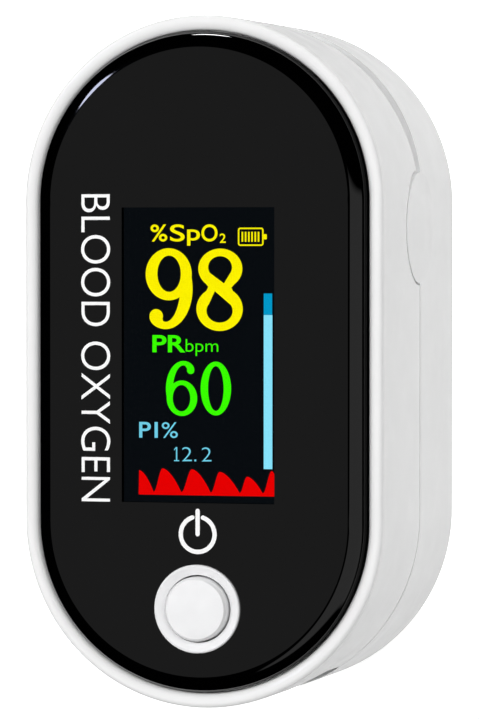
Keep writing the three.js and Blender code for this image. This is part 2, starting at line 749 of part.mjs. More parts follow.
function place(group, name, solid, material) {
  const mesh = new THREE.Mesh(geometryOf(solid), material);
  mesh.name = name;
  group.add(mesh);
}

place(lower, "lower_shell", lowerShell(), WHITE);
place(lower, "lower_cradle", lowerCradle(), INNER_WHITE);
place(lower, "lower_finger_pad", pad(-1), SILICONE);
place(lower, "hinge_pin", hingePin(), STEEL);
place(lower, "torsion_spring_right", torsionSpring(1), STEEL);
place(lower, "torsion_spring_left", torsionSpring(-1), STEEL);
place(lower, "battery_left", cell(-BATTERY_X, REAR_CONTACT_Y - CELL_GAP, 1), CELL);
place(lower, "battery_right", cell(BATTERY_X, FRONT_CONTACT_Y + CELL_GAP, -1), CELL);
place(lower, "battery_link_contact", contact(-9.4, 9.4, BAY_FRONT_Y + CONTACT_GAP, FRONT_CONTACT_Y), NICKEL);
place(lower, "positive_contact", contact(-9.4, -1.4, REAR_CONTACT_Y, BAY_REAR_Y - CONTACT_GAP), NICKEL);
place(lower, "negative_contact", contact(1.4, 9.4, REAR_CONTACT_Y, BAY_REAR_Y - CONTACT_GAP), NICKEL);
place(
  lower,
  "front_contact_spring",
  contactSpring(-BATTERY_X, FRONT_CONTACT_Y + 0.4, LEFT_CELL_END - 0.4),
  NICKEL,
);
place(
  lower,
  "rear_contact_spring",
  contactSpring(BATTERY_X, REAR_CONTACT_Y - 0.4, RIGHT_CELL_END + 0.4),
  NICKEL,
);
place(lower, "detector_board", sensorBoard(12.6, 13), BOARD);
place(lower, "photodiode", sensorChip(13.05, 14.5), EPOXY);
place(lower, "flex_cable", flexCable(), FLEX);
place(lower, "battery_lead_right", batteryLead(1), LEAD_RED);
place(lower, "battery_lead_left", batteryLead(-1), BLACK_MATT);

place(upper, "upper_shell", upperShell(), WHITE);
place(upper, "face_lens", faceLens(), BLACK_GLOSS);
place(upper, "lens_adhesive", lensAdhesive(), BLACK_MATT);
place(upper, "button_ring", buttonRing(), WHITE);
place(upper, "display_module", displayModule(), SCREEN);
place(upper, "display_frame", displayFrame(), BLACK_MATT);
place(upper, "main_board", mainBoard(), BOARD);
place(upper, "processor_chip", box(-3.5, 3.5, 17.2, 24.2, BOARD_Z[1], BOARD_Z[1] + 1.1), CHIP);
place(upper, "analog_chip", box(-8.8, -4.8, 17.6, 21.6, BOARD_Z[1], BOARD_Z[1] + 0.9), CHIP);
place(upper, "crystal", box(5, 8.2, 18.2, 19.8, BOARD_Z[1], BOARD_Z[1] + 0.8), NICKEL);
place(upper, "tact_switch", tactSwitch(), BLACK_MATT);
place(upper, "upper_cradle", upperCradle(), INNER_WHITE);
place(upper, "upper_finger_pad", pad(1), SILICONE);
place(upper, "emitter_board", sensorBoard(ROOF_Z[1] - 0.3, ROOF_Z[1] + 0.15), BOARD);
place(upper, "emitter_led", sensorChip(21.6, ROOF_Z[1] - 0.35), EPOXY);

place(door, "battery_door", batteryDoor(), WHITE);

place(button, "button_cap", buttonCap(), WHITE);
place(button, "switch_plunger", switchPlunger(), BLACK_MATT);

screwPlaces().forEach(([x, y]) => {
  const where = `${y < 0 ? "front" : "rear"}_${x < 0 ? "left" : "right"}`;
  place(upper, `upper_screw_${where}`, screw(x, y, UPPER_PLATE_Z[0] - 0.8, true), STEEL);
  place(lower, `lower_screw_${where}`, screw(x, y, LOWER_PLATE_Z[1] + 0.8, false), STEEL);
});

const oximeter = new THREE.Group();
oximeter.add(lower, upper, door, button);

export default oximeter;
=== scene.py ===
import math

import bmesh
import bpy
from mathutils import Matrix, Vector

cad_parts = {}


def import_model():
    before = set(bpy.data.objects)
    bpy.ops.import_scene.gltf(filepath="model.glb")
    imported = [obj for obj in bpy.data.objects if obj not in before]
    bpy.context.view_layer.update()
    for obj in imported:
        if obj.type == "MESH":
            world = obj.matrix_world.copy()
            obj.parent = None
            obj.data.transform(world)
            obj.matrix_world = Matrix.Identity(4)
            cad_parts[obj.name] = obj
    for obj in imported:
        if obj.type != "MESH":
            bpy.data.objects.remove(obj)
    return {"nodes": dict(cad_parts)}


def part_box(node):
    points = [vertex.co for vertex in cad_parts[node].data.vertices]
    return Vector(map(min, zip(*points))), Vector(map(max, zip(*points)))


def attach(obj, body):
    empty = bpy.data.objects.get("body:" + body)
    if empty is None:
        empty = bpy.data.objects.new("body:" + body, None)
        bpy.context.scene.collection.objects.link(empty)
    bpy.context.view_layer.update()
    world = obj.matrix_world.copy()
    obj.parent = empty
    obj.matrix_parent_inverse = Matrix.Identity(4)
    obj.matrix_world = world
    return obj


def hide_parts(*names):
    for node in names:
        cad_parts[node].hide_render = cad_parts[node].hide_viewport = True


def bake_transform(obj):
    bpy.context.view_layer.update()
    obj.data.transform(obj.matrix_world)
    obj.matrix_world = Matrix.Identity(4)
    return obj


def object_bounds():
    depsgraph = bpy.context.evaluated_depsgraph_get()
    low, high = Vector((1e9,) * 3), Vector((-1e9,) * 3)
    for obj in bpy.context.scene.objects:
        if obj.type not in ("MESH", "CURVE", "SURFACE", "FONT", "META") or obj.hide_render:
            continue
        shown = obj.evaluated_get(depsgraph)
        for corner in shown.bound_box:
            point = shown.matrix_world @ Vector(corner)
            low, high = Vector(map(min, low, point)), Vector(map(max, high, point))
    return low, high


# Fingertip pulse oximeter. Lengths are in millimetres and turn into metres where a mesh is made.
# +Z is up through the display, +Y runs towards the hinge end, -Y towards the finger mouth.

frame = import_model()
CAD_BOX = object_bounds()
MM = 0.001

# ---- Driving dimensions, read from the frame ---------------------------------------------------


def cad(node):
    """Lowest and highest corner of a CAD node, in millimetres."""
    lo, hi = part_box(node)
    return lo / MM, hi / MM


def middle(node):
    lo, hi = cad(node)
    return (lo + hi) / 2


LENGTH = (CAD_BOX[1].y - CAD_BOX[0].y) / MM
WIDTH = 33.6  # over the side walls, without the hinge discs
RADIUS = WIDTH / 2  # the outline is a stadium: two half circles joined by straight sides
ARC_Y = LENGTH / 2 - RADIUS
PART_Z = middle("hinge_pin").z
HINGE_Y = middle("hinge_pin").y
RIM_Z = cad("upper_shell")[1].z
LENS_Z = cad("face_lens")[1].z
LENS_R = cad("face_lens")[1].x
LENS_UNDER = cad("face_lens")[0].z
BUTTON_Y = middle("button_ring").y
CAP_TOP = cad("button_cap")[1].z
RING_R = cad("button_ring")[1].x
RING_BORE = 3.05
RING_SLEEVE_R = 3.7
LENS_HOLE_R = 3.75
TUNNEL_Z = 18.2  # middle of the finger tunnel
SENSOR_Y = -14  # where the light source and the detector face each other across the tunnel
CELL_Z = middle("battery_left").z
CELL_R = (cad("battery_left")[1].z - cad("battery_left")[0].z) / 2
SPRING_X = {
    "front_contact_spring": middle("battery_left").x,
    "rear_contact_spring": middle("battery_right").x,
}
SCREWS = {n: middle(n) for n in frame["nodes"] if "_screw_" in n}

# ---- Driving dimensions of what is shaped here -------------------------------------------------

WALL = 1.5
FILLET = 0.14  # rounding of both shells' edges where they meet
LIP = 0.1  # how far their inner edges are cut off
RIM_INSET = 0.05
RIM_R = RADIUS - RIM_INSET
RIM_ROUND = (0.4, 0.45)  # how wide and how tall the rounding of the rim's outer edge is
RIM_SLOPE = (0.85, 0.5)  # the same for its inner edge, which dips towards the lens
RIM_FOOT_Z = RIM_Z - RIM_ROUND[1]
LENS_SEAT_R = LENS_R + 0.12
LENS_EDGE = (1.5, LENS_Z - RIM_Z)  # how wide and how tall the rounding of the lens's edge is
LEDGE_Z = LENS_UNDER - 0.3
LEDGE_UNDER = LEDGE_Z - 1.3
LEDGE_R = LENS_R - 2.2
BOTTOM_ROUND = 3
BASE_THICK = 2.4
HALF_GAP = 0.125  # from the parting plane to either shell's edge
EAR_R = 5.1
EAR_DOME = 0.3  # how far the middle of the ear stands out from the side wall
NOTCH_R = EAR_R + 0.2
RISE_BEHIND = math.tan(math.radians(3))  # slope of the upper shell's edge behind the hinge
FALL_BEHIND = math.tan(math.radians(10))  # slope of the lower shell's edge there
MOUTH = (9.3, 4.5)  # half width and half height of the finger opening
MOUTH_SIDE_X = 14  # points on the outline share their x less and less from the mouth to here
WINDOW_HALF = (7.125, 13.25)  # half width and half length of the clear window in the lens
WINDOW_Y = 0.65
LENS_PLATE = 0.7
BOSS_R = 1.5
PILOT_R = 0.6
UPPER_BOSS_FOOT = 17.4
LOWER_BOSS_TOP = 13.5
NOTCH_DEG = (4.3, 178.65)  # where the notch round the ear meets the shell's edge, behind and in front
BAY = ((-11, -25.3, 0.5), (11, 24.3, 12))  # opposite corners of the hollow that takes the cells
LANYARD_HOLE = (1.1, 2.5, 7.4)  # radius, distance either side of the middle, height
DOOR_HALF = 11.3
DOOR_FRONT = -22.8
DOOR_THICK = 1.5
DOOR_PLAY = 0.12
TONGUE_HALF = 12.2  # the door's thin side edges, which slide in grooves
TONGUE_UNDER = 0.9
BEYOND = 40  # far enough out to pass the end of the case
PRINT_Z = LENS_Z + 0.004
PRINT_THICK = 0.01
GLYPH_Z = cad("display_module")[1].z + 0.012
PARALLAX = -0.16  # what is drawn this far left on the display lines up with the face above it
FLOOR_GLOW = (0.52, 0.18)  # near the object and far from it
FLOOR_GLOW_REACH = (20, 120)
CAMERA_DEG = (16.4, 1.52)  # how far it leans from the upright to the right and to the hinge end
CAMERA_DISTANCE = 400
CAMERA_LENS = 222.6
CAMERA_AIM = (3.396, 0.2)  # to the right of the middle of the rim and above it, as the camera sees it

UPPER = "upper_half"
LOWER = "lower_half"
BUTTON = "power_button"
DOOR = "battery_door"

# ---- Meshes ------------------------------------------------------------------------------------


def add_object(name, data):
    obj = bpy.data.objects.new(name, data)
    bpy.context.scene.collection.objects.link(obj)
    return obj


def finish_mesh(name, bm, sharp_deg=32):
    """Turns a bmesh in millimetres into a smooth-shaded object in metres."""
    bmesh.ops.remove_doubles(bm, verts=bm.verts, dist=1e-5)
    bmesh.ops.recalc_face_normals(bm, faces=bm.faces)
    mesh = bpy.data.meshes.new(name)
    bm.to_mesh(mesh)
    bm.free()
    mesh.transform(Matrix.Scale(MM, 4))
    mesh.shade_smooth()
    mesh.set_sharp_from_angle(angle=math.radians(sharp_deg))
    return add_object(name, mesh)


def place(obj, material, body, node=None):
    """Gives a piece its material, its body and the CAD node it stands for."""
    if not obj.data.materials:
        obj.data.materials.append(material)
    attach(obj, body)
    if node:
        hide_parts(node)
    return obj


def weigh_normals(obj):
    """Keeps flat faces flat next to small rounded edges."""
    modifier = obj.modifiers.new("flat_faces", "WEIGHTED_NORMAL")
    modifier.keep_sharp = True
    return obj


def grid_faces(bm, rings, closed_rings=True, closed_chain=False):
    """Joins rings of vertices with quads. A closed chain joins the last ring to the first."""
    pairs = list(zip(rings, rings[1:]))
    if closed_chain:
        pairs.append((rings[-1], rings[0]))
    for near, far in pairs:
        count = len(near)
        for i in range(count if closed_rings else count - 1):
            j = (i + 1) % count
            corners = []
            for v in (near[i], near[j], far[j], far[i]):
                if v not in corners:
                    corners.append(v)
            if len(corners) > 2:
                bm.faces.new(corners)


def quarter_turn(steps):
    """The cosine and the sine of evenly spaced angles from 0 to 90 degrees."""
    for i in range(steps + 1):
        angle = math.pi / 2 * i / steps
        yield math.cos(angle), math.sin(angle)


def ellipse(cx, cy, a, b, start_deg=0, end_deg=360, steps=64):
    """Points along an ellipse, without the last one when it closes."""
    count = steps if abs(end_deg - start_deg) >= 360 else steps + 1
    points = []
    for i in range(count):
        angle = math.radians(start_deg + (end_deg - start_deg) * i / steps)
        points.append((cx + a * math.cos(angle), cy + b * math.sin(angle)))
    return points


def rounded(corners, steps=4):
    """A closed outline from (u, v, radius) corners, each turned into an arc of that radius."""
    points = []
    count = len(corners)
    for i, (u, v, radius) in enumerate(corners):
        here = Vector((u, v))
        before = Vector(corners[i - 1][:2]) - here
        after = Vector(corners[(i + 1) % count][:2]) - here
        if radius <= 0:
            points.append((u, v))
            continue
        half = before.angle(after) / 2
        reach = radius / math.tan(half)
        a = here + before.normalized() * reach
        b = here + after.normalized() * reach
        centre = here + (before.normalized() + after.normalized()).normalized() * radius / math.sin(half)
        start = a - centre
        turn = start.angle_signed(b - centre)
        for k in range(steps + 1):
            p = centre + Matrix.Rotation(-turn * k / steps, 2) @ start
            points.append((p.x, p.y))
    return points


def lathe(name, profile, x=0, y=0, segments=96, axis="Z", sharp_deg=32, closed=False):
    """A turned piece from (radius, distance along the axis) points. Points on the axis close it."""
    bm = bmesh.new()
    rings = []
    for r, along in profile:
        if r < 1e-6:
            hub = bm.verts.new((0, 0, along))
            rings.append([hub] * segments)
            continue
        ring = []
        for i in range(segments):
            angle = 2 * math.pi * i / segments
            ring.append(bm.verts.new((r * math.cos(angle), r * math.sin(angle), along)))
        rings.append(ring)
    grid_faces(bm, rings, closed_chain=closed)
    if axis == "X":
        bm.transform(Matrix.Rotation(math.pi / 2, 4, "Y"))
    if axis == "Y":
        bm.transform(Matrix.Rotation(-math.pi / 2, 4, "X"))
    bm.transform(Matrix.Translation((x, y, 0)))
    return finish_mesh(name, bm, sharp_deg)


def moved(obj, x, y, z):
    """Shifts a mesh by millimetres."""
    obj.data.transform(Matrix.Translation(Vector((x, y, z)) * MM))
    return obj


def soft_box(name, lo, hi, bevel=0, steps=2):
    """A box between two corners. With a bevel its edges are rounded."""
    bm = bmesh.new()
    size = Vector(hi) - Vector(lo)
    centre = (Vector(hi) + Vector(lo)) / 2
    bmesh.ops.create_cube(bm, size=1, matrix=Matrix.Translation(centre) @ Matrix.Diagonal((*size, 1)))
    if bevel:
        bmesh.ops.bevel(bm, geom=bm.edges[:], offset=bevel, segments=steps, profile=0.5, affect="EDGES")
    return finish_mesh(name, bm)


def combine(obj, operation, *others):
    """Applies a boolean with each of the other objects, which are then removed."""
    for other in others:
        modifier = obj.modifiers.new("solid", "BOOLEAN")
        modifier.operation = operation
        modifier.solver = "EXACT"
        modifier.object = other
        evaluated = obj.evaluated_get(bpy.context.evaluated_depsgraph_get())
        result = bpy.data.meshes.new_from_object(evaluated)
        obj.modifiers.clear()
        old = obj.data
        obj.data = result
        bpy.data.meshes.remove(old)
        bpy.data.objects.remove(other)
    return weld(obj)


def weld(obj):
    """Merges the doubled points that cuts leave, and drops most of the faces left with no area."""
    gap = 0.001 * MM
    bm = bmesh.new()
    bm.from_mesh(obj.data)
    bmesh.ops.remove_doubles(bm, verts=bm.verts[:], dist=gap)
    bmesh.ops.dissolve_degenerate(bm, edges=bm.edges[:], dist=gap)
    bm.to_mesh(obj.data)
    bm.free()
    return obj


def split_large_faces(obj):
    """Splits faces of more than four sides into well-shaped triangles."""
    bm = bmesh.new()
    bm.from_mesh(obj.data)
    large = [face for face in bm.faces if len(face.verts) > 4]
    bmesh.ops.triangulate(bm, faces=large, ngon_method="BEAUTY")
    bm.to_mesh(obj.data)
    bm.free()
    return obj


def resmooth(obj, sharp_deg=32):
    """Marks the sharp edges again after booleans."""
    obj.data.shade_smooth()
    obj.data.set_sharp_from_angle(angle=math.radians(sharp_deg))
    return obj


def smooth_cuts(obj, sharp_deg=32):
    """Smooth shading for a piece cut from flat and rounded faces."""
    return weigh_normals(resmooth(obj, sharp_deg))


# ---- Materials ---------------------------------------------------------------------------------


def srgb(r, g, b):
    """A linear colour from sRGB values of 0 to 255."""
    return tuple((c / 255) ** 2.2 for c in (r, g, b)) + (1,)


def blank_material(name, roughness, **fixed):
    """A Principled material with the values that are the same all over set on its own sockets."""
    material = bpy.data.materials.new(name)
    material.use_nodes = True
    shader = material.node_tree.nodes["Principled BSDF"]
    shader.inputs["Roughness"].default_value = roughness
    for socket, value in fixed.items():
        shader.inputs[socket.replace("_", " ")].default_value = value
    return material, material.node_tree, shader


def add_node(tree, kind, **inputs):
    """A shader node whose inputs are set to values or joined to the sockets of other nodes."""
    node = tree.nodes.new("ShaderNode" + kind)
    for name, value in inputs.items():
        socket = node.inputs[name.replace("_", " ")]
        if isinstance(value, bpy.types.NodeSocket):
            tree.links.new(value, socket)
        else:
            socket.default_value = value
    return node


def object_space(tree):
    return add_node(tree, "TexCoord").outputs["Object"]


def noise(tree, scale, detail=3, stretch=(1, 1, 1)):
    """Noise in the object's own space; scale counts features along a metre."""
    mapping = add_node(tree, "Mapping", Vector=object_space(tree), Scale=stretch)
    texture = add_node(tree, "TexNoise", Vector=mapping.outputs["Vector"], Scale=scale, Detail=detail)
    return texture.outputs["Fac"]


def remap(tree, value, low, high, start=0.3, end=0.7):
    """Spreads the values between start and end, by default the bulk of a noise, from low to high."""
    node = add_node(tree, "MapRange", Value=value, From_Min=start, From_Max=end, To_Min=low, To_Max=high)
    return node.outputs["Result"]


def blend_colours(tree, factor, first, second):
    node = tree.nodes.new("ShaderNodeMix")
    node.data_type = "RGBA"
    tree.links.new(factor, node.inputs["Factor"])
    for socket, value in (("A", first), ("B", second)):
        target = [s for s in node.inputs if s.name == socket and s.type == "RGBA"][0]
        if isinstance(value, tuple):
            target.default_value = value
        else:
            tree.links.new(value, target)
    return [s for s in node.outputs if s.type == "RGBA"][0]


def bump(tree, shader, height, distance_mm):
    node = add_node(tree, "Bump", Height=height, Distance=distance_mm * MM)
    tree.links.new(node.outputs["Normal"], shader.inputs["Normal"])


def textured(name, dark, light, roughness, tone=400, grain=2500, depth=0.004, stretch=(1, 1, 1), **fixed):
    """The common material: tone, roughness and fine relief each vary by noise."""
    material, tree, shader = blank_material(name, roughness[0], **fixed)
    shade = remap(tree, noise(tree, tone, 4, stretch), 0, 1)
    colour = blend_colours(tree, shade, srgb(*dark), srgb(*light))
    tree.links.new(colour, shader.inputs["Base Color"])
    rough = remap(tree, noise(tree, tone * 1.7, 3, stretch), *roughness)
    tree.links.new(rough, shader.inputs["Roughness"])
    bump(tree, shader, noise(tree, grain, 2, stretch), depth)
    return material


SHELL_WHITE = textured(
    "shell_white", (240, 240, 240), (244, 244, 244), (0.16, 0.24), tone=160, grain=700, depth=0.002
)
BUTTON_WHITE = textured(
    "button_white", (237, 237, 238), (242, 242, 243), (0.3, 0.4), tone=500, grain=3500, depth=0.003
)
PRINT_WHITE = textured(
    "print_white", (246, 246, 246), (252, 252, 252), (0.5, 0.62), tone=2500, grain=9000, depth=0.001
)
INNER_WHITE = textured(
    "inner_white", (234, 234, 235), (241, 241, 242), (0.38, 0.5), tone=300, grain=2600, depth=0.006
)
SILICONE = textured(
    "silicone_dark", (40, 42, 46), (52, 54, 58), (0.55, 0.72), tone=900, grain=5200, depth=0.012
)
STEEL = textured(
    "pin_steel", (170, 172, 176), (205, 207, 210), (0.2, 0.36),
    tone=900, grain=4000, depth=0.002, stretch=(0.2, 1, 1), Metallic=1,
)
SPRING_STEEL = textured(
    "spring_steel", (150, 152, 156), (196, 198, 202), (0.24, 0.4), tone=1500, grain=5000, Metallic=1
)
NICKEL = textured(
    "nickel_plate", (186, 182, 172), (214, 210, 200), (0.2, 0.34), tone=700, grain=3000, Metallic=1
)
GASKET = textured(
    "gasket_black", (20, 20, 21), (30, 30, 31), (0.7, 0.85), tone=1500, grain=6000, depth=0.03
)
CHIP_BLACK = textured(
    "chip_black", (20, 21, 23), (32, 33, 35), (0.5, 0.62), tone=3000, grain=9000, depth=0.01
)
EPOXY = textured(
    "clear_epoxy", (214, 222, 226), (230, 236, 240), (0.08, 0.14), tone=900, grain=3000, depth=0.002
)
FLEX_AMBER = textured(
    "flex_amber", (150, 88, 22), (186, 116, 36), (0.3, 0.42), tone=1200, grain=3000, depth=0.006
)
LEAD_RED = textured(
    "lead_red", (150, 22, 18), (178, 34, 28), (0.4, 0.5), tone=1500, grain=5000, depth=0.004
)
LEAD_BLACK = textured(
    "lead_black", (18, 18, 19), (30, 30, 31), (0.4, 0.5), tone=1500, grain=5000, depth=0.004
)


def board_material():
    """Green solder mask with darker copper-free strips and a fine speckle."""
    material, tree, shader = blank_material("board_green", 0.35)
    tracks = add_node(tree, "TexBrick", Vector=object_space(tree), Scale=900, Mortar_Size=0.06)
    for socket, colour in (("Color1", (24, 92, 58)), ("Color2", (30, 104, 66)), ("Mortar", (14, 64, 40))):
        tracks.inputs[socket].default_value = srgb(*colour)
    speckle = remap(tree, noise(tree, 3000), 0, 0.5)
    colour = blend_colours(tree, speckle, tracks.outputs["Color"], srgb(34, 112, 72))
    tree.links.new(colour, shader.inputs["Base Color"])
    bump(tree, shader, tracks.outputs["Fac"], 0.02)
    return material


def panel_material():
    """The dark glass of the display, with its faint pixel grid."""
    material, tree, shader = blank_material(
        "display_panel", 0.3, Emission_Strength=1.0, Specular_IOR_Level=0
    )
    shade = remap(tree, noise(tree, 5000, 1), 0, 1)
    colour = blend_colours(tree, shade, srgb(6, 8, 9), srgb(9, 11, 12))
    tree.links.new(colour, shader.inputs["Base Color"])
    glow = blend_colours(tree, shade, srgb(15, 18, 21), srgb(18, 21, 24))
    tree.links.new(glow, shader.inputs["Emission Color"])
    return material


def lit_material(name, colour):
    """Lit display segments: emission that varies slightly from pixel to pixel."""
    material, tree, shader = blank_material(name, 0.5, Emission_Strength=1.0)
    shader.inputs["Base Color"].default_value = (0.01, 0.01, 0.01, 1)
    shader.inputs["Specular IOR Level"].default_value = 0
    cells = add_node(tree, "TexVoronoi", Vector=object_space(tree), Scale=7000)
    dim = tuple(c * 0.93 for c in colour[:3]) + (1,)
    glow = blend_colours(tree, cells.outputs["Distance"], colour, dim)
    tree.links.new(glow, shader.inputs["Emission Color"])
    return material


def lens_material():
    """Shiny black lens, with painted shade: where its edge turns down towards the rim it hardly reflects.
    """
    material, tree, shader = blank_material("lens_black", 0.04)
    tone = remap(tree, noise(tree, 120), 0, 1)
    tree.links.new(blend_colours(tree, tone, srgb(3, 3, 3), srgb(6, 6, 7)), shader.inputs["Base Color"])
    bump(tree, shader, noise(tree, 260, 2), 0.0006)
    geometry = tree.nodes.new("ShaderNodeNewGeometry")
    split = add_node(tree, "SeparateXYZ", Vector=geometry.outputs["True Normal"])
    # painted shade: the further the edge turns down, the less it reflects, so it stays black beside the
    # rim
    edge_shade_gloss = remap(tree, split.outputs["Z"], 0.02, 1.0, start=0.38, end=0.6)
    tree.links.new(edge_shade_gloss, shader.inputs["Specular IOR Level"])
    return material


def clear_material():
    """The clear pane over the display. With its low index it hardly bends or reflects anything."""
    material, tree, shader = blank_material("lens_clear", 0.0, Transmission_Weight=1.0, IOR=1.05)
    shader.inputs["Base Color"].default_value = (1, 1, 1, 1)
    smear = remap(tree, noise(tree, 90), 0.0, 0.015)
    tree.links.new(smear, shader.inputs["Roughness"])
    return material


def floor_material():
    """Pale floor that glows, more strongly round the object than far from it."""
    material, tree, shader = blank_material("pale_floor", 0.9)
    shade = remap(tree, noise(tree, 6), 0, 1)
    colour = blend_colours(tree, shade, srgb(250, 250, 250), srgb(254, 254, 254))
    tree.links.new(colour, shader.inputs["Base Color"])
    length = tree.nodes.new("ShaderNodeVectorMath")
    length.operation = "LENGTH"
    tree.links.new(object_space(tree), length.inputs[0])
    near, far = FLOOR_GLOW_REACH
    glow = remap(tree, length.outputs["Value"], *FLOOR_GLOW, near * MM, far * MM)
    tree.links.new(glow, shader.inputs["Emission Strength"])
    shader.inputs["Emission Color"].default_value = (1, 1, 1, 1)
    shader.inputs["Specular IOR Level"].default_value = 0
    return material


BOARD_GREEN = board_material()
LENS_BLACK = lens_material()
CELL_WRAP = textured(
    "cell_wrap", (44, 92, 150), (52, 102, 162), (0.26, 0.34), tone=700, stretch=(1, 0.1, 1)
)
CELL_BAND = textured("cell_band", (200, 202, 206), (212, 214, 218), (0.26, 0.34), tone=700)
PANEL = panel_material()
LENS_CLEAR = clear_material()
YELLOW = lit_material("lit_yellow", srgb(255, 243, 0))
GREEN = lit_material("lit_green", srgb(60, 255, 0))
CYAN = lit_material("lit_cyan", srgb(112, 206, 232))
LIGHT_CYAN = lit_material("lit_light_cyan", srgb(135, 229, 254))
DEEP_CYAN = lit_material("lit_deep_cyan", srgb(7, 152, 201))
RED = lit_material("lit_red", srgb(230, 0, 4))

# ---- The stadium outline -----------------------------------------------------------------------


def smooth_step(low, high, value):
    t = min(1, max(0, (value - low) / (high - low)))
    return t * t * (3 - 2 * t)


class Station:
    """One place on the outline. Across the mouth, points share their x instead of their direction."""

    def __init__(self, x, y):
        self.x = x
        self.y = y
        self.centre = ARC_Y if y > ARC_Y else -ARC_Y if y < -ARC_Y else None
        mouth = self.centre is not None and y < 0
        self.straight = 1 - smooth_step(MOUTH[0], MOUTH_SIDE_X, abs(x)) if mouth else 0

    def at(self, r):
        if self.centre is None:
            return math.copysign(r, self.x), self.y
        scale = r / RADIUS
        x = self.x * (scale + (1 - scale) * self.straight)
        if self.straight:
            return x, self.centre - math.sqrt(r * r - x * x)
        return x, self.centre + (self.y - self.centre) * scale


def half_stations():
    """Stations down the right side, from the middle of the hinge end to the middle of the mouth."""
    stations = []
    behind, in_front = NOTCH_DEG
    notch_end = HINGE_Y + NOTCH_R * math.cos(math.radians(behind))
    first = math.asin((notch_end - ARC_Y) / RADIUS)
    arc_steps = 40
    for i in range(arc_steps):
        angle = math.pi / 2 + (first - math.pi / 2) * i / arc_steps
        stations.append(Station(RADIUS * math.cos(angle), ARC_Y + RADIUS * math.sin(angle)))
    notch_steps = 36
    for i in range(notch_steps + 1):
        angle = math.radians(behind + (in_front - behind) * i / notch_steps)
        y = HINGE_Y + NOTCH_R * math.cos(angle)
        x = math.sqrt(RADIUS**2 - (y - ARC_Y) ** 2) if y > ARC_Y else RADIUS
        stations.append(Station(x, y))
    notch_front = stations[-1].y
    side_steps = 12
    for i in range(1, side_steps + 1):
        y = notch_front + (-ARC_Y - notch_front) * i / side_steps
        stations.append(Station(RADIUS, y))
    mouth_side = math.acos(MOUTH[0] / RADIUS)
    corner_steps = 24
    for i in range(1, corner_steps + 1):
        angle = mouth_side * i / corner_steps
        nudge = 0.01 if i == corner_steps else 0  # keeps this point just outside the mouth
        x = RADIUS * math.cos(angle) + nudge
        stations.append(Station(x, -ARC_Y - math.sqrt(RADIUS**2 - x * x)))
    for cosine, _ in quarter_turn(36):
        x = MOUTH[0] * cosine
        stations.append(Station(x, -ARC_Y - math.sqrt(RADIUS**2 - x * x)))
    return stations


def outline_stations():
    right = half_stations()
    left = [Station(-s.x, s.y) for s in reversed(right[1:-1])]
    return right + left


STATIONS = outline_stations()


def mouth_height(x):
    """Half height of the finger opening at x, a superellipse."""
    share = min(1, abs(x) / MOUTH[0])
    return MOUTH[1] * (1 - share**4) ** 0.25


def upper_edge(x, y):
    """Height of the upper shell's lower edge."""
    if y < -ARC_Y and abs(x) <= MOUTH[0] + 1e-6:
        return TUNNEL_Z + mouth_height(x)
    flat = PART_Z + HALF_GAP + max(0, y - HINGE_Y) * RISE_BEHIND
    inside = NOTCH_R**2 - (y - HINGE_Y) ** 2
    return max(flat, PART_Z + math.sqrt(inside)) if inside > 0 else flat


def lower_edge(x, y):
    """Height of the lower shell's upper edge."""
    flat = PART_Z - HALF_GAP - max(0, y - HINGE_Y) * FALL_BEHIND
    if y < -ARC_Y and abs(x) < MOUTH[0]:
        return min(flat, TUNNEL_Z - mouth_height(x))
    return flat


def wall_radius(z):
    """The side wall leans in a little from the parting plane up to the rim."""
    share = min(1, max(0, (z - PART_Z) / (RIM_FOOT_Z - PART_Z)))
    return RADIUS - RIM_INSET * share


def sweep(name, edge, chain, caps=False, stations=None):
    """Sweeps a chain of (inset from the wall, height, follows the edge) points round the outline."""
    bm = bmesh.new()
    rings = []
    for inset, height, on_edge in chain:
        ring = []
        for station in stations or STATIONS:
            x, y = station.at(RADIUS - inset)
            z = edge(x, y) + height if on_edge else height
            x, y = station.at(wall_radius(z) - inset)
            ring.append(bm.verts.new((x, y, z)))
        rings.append(ring)
    grid_faces(bm, rings, closed_chain=not caps)
    if caps:
        bm.faces.new(rings[0])
        bm.faces.new(list(reversed(rings[-1])))
    return finish_mesh(name, bm)


def absolute(r, z):
    """A chain point at its own radius and height."""
    return wall_radius(z) - r, z, False


def upright(r, x, y, z0, z1, segments=48):
    return lathe("cylinder", [(0, z0), (r, z0), (r, z1), (0, z1)], x, y, segments)


def tube(name, r_out, r_in, x, y, z0, z1, segments=40):
    """An open boss with a pilot hole right through."""
    return lathe(name, [(r_in, z0), (r_out, z0), (r_out, z1), (r_in, z1)], x, y, segments, closed=True)


def add_bosses(shell, prefix, z0, z1):
    """Joins a boss to the shell at each screw whose name starts with the prefix."""
    for node, centre in SCREWS.items():
        if node.startswith(prefix):
            combine(shell, "UNION", tube("boss", BOSS_R, PILOT_R, centre.x, centre.y, z0, z1))


def upper_shell():
    wide, tall = RIM_ROUND
    slope_wide, slope_deep = RIM_SLOPE
    chain = [(FILLET, 0, True), (0.3 * FILLET, 0.3 * FILLET, True), (0, FILLET, True)]
    for cosine, sine in quarter_turn(8):
        chain.append(absolute(RIM_R - wide * (1 - cosine), RIM_Z - tall * (1 - sine)))
    for cosine, sine in quarter_turn(8):
        r = LENS_SEAT_R + slope_wide * (1 - sine)
        chain.append(absolute(r, RIM_Z - slope_deep * (1 - cosine)))
    chain += [
        absolute(LENS_SEAT_R, LEDGE_Z),
        absolute(LEDGE_R, LEDGE_Z),
        absolute(LEDGE_R, LEDGE_UNDER),
        absolute(RIM_R - WALL, LEDGE_UNDER),
        (WALL, LIP, True),
        (WALL - LIP, 0, True),
    ]
    shell = sweep("shell_top", upper_edge, chain)
    add_bosses(shell, "upper_screw", UPPER_BOSS_FOOT, LEDGE_UNDER + 0.5)
    smooth_cuts(shell)
    return place(shell, SHELL_WHITE, UPPER, "upper_shell")


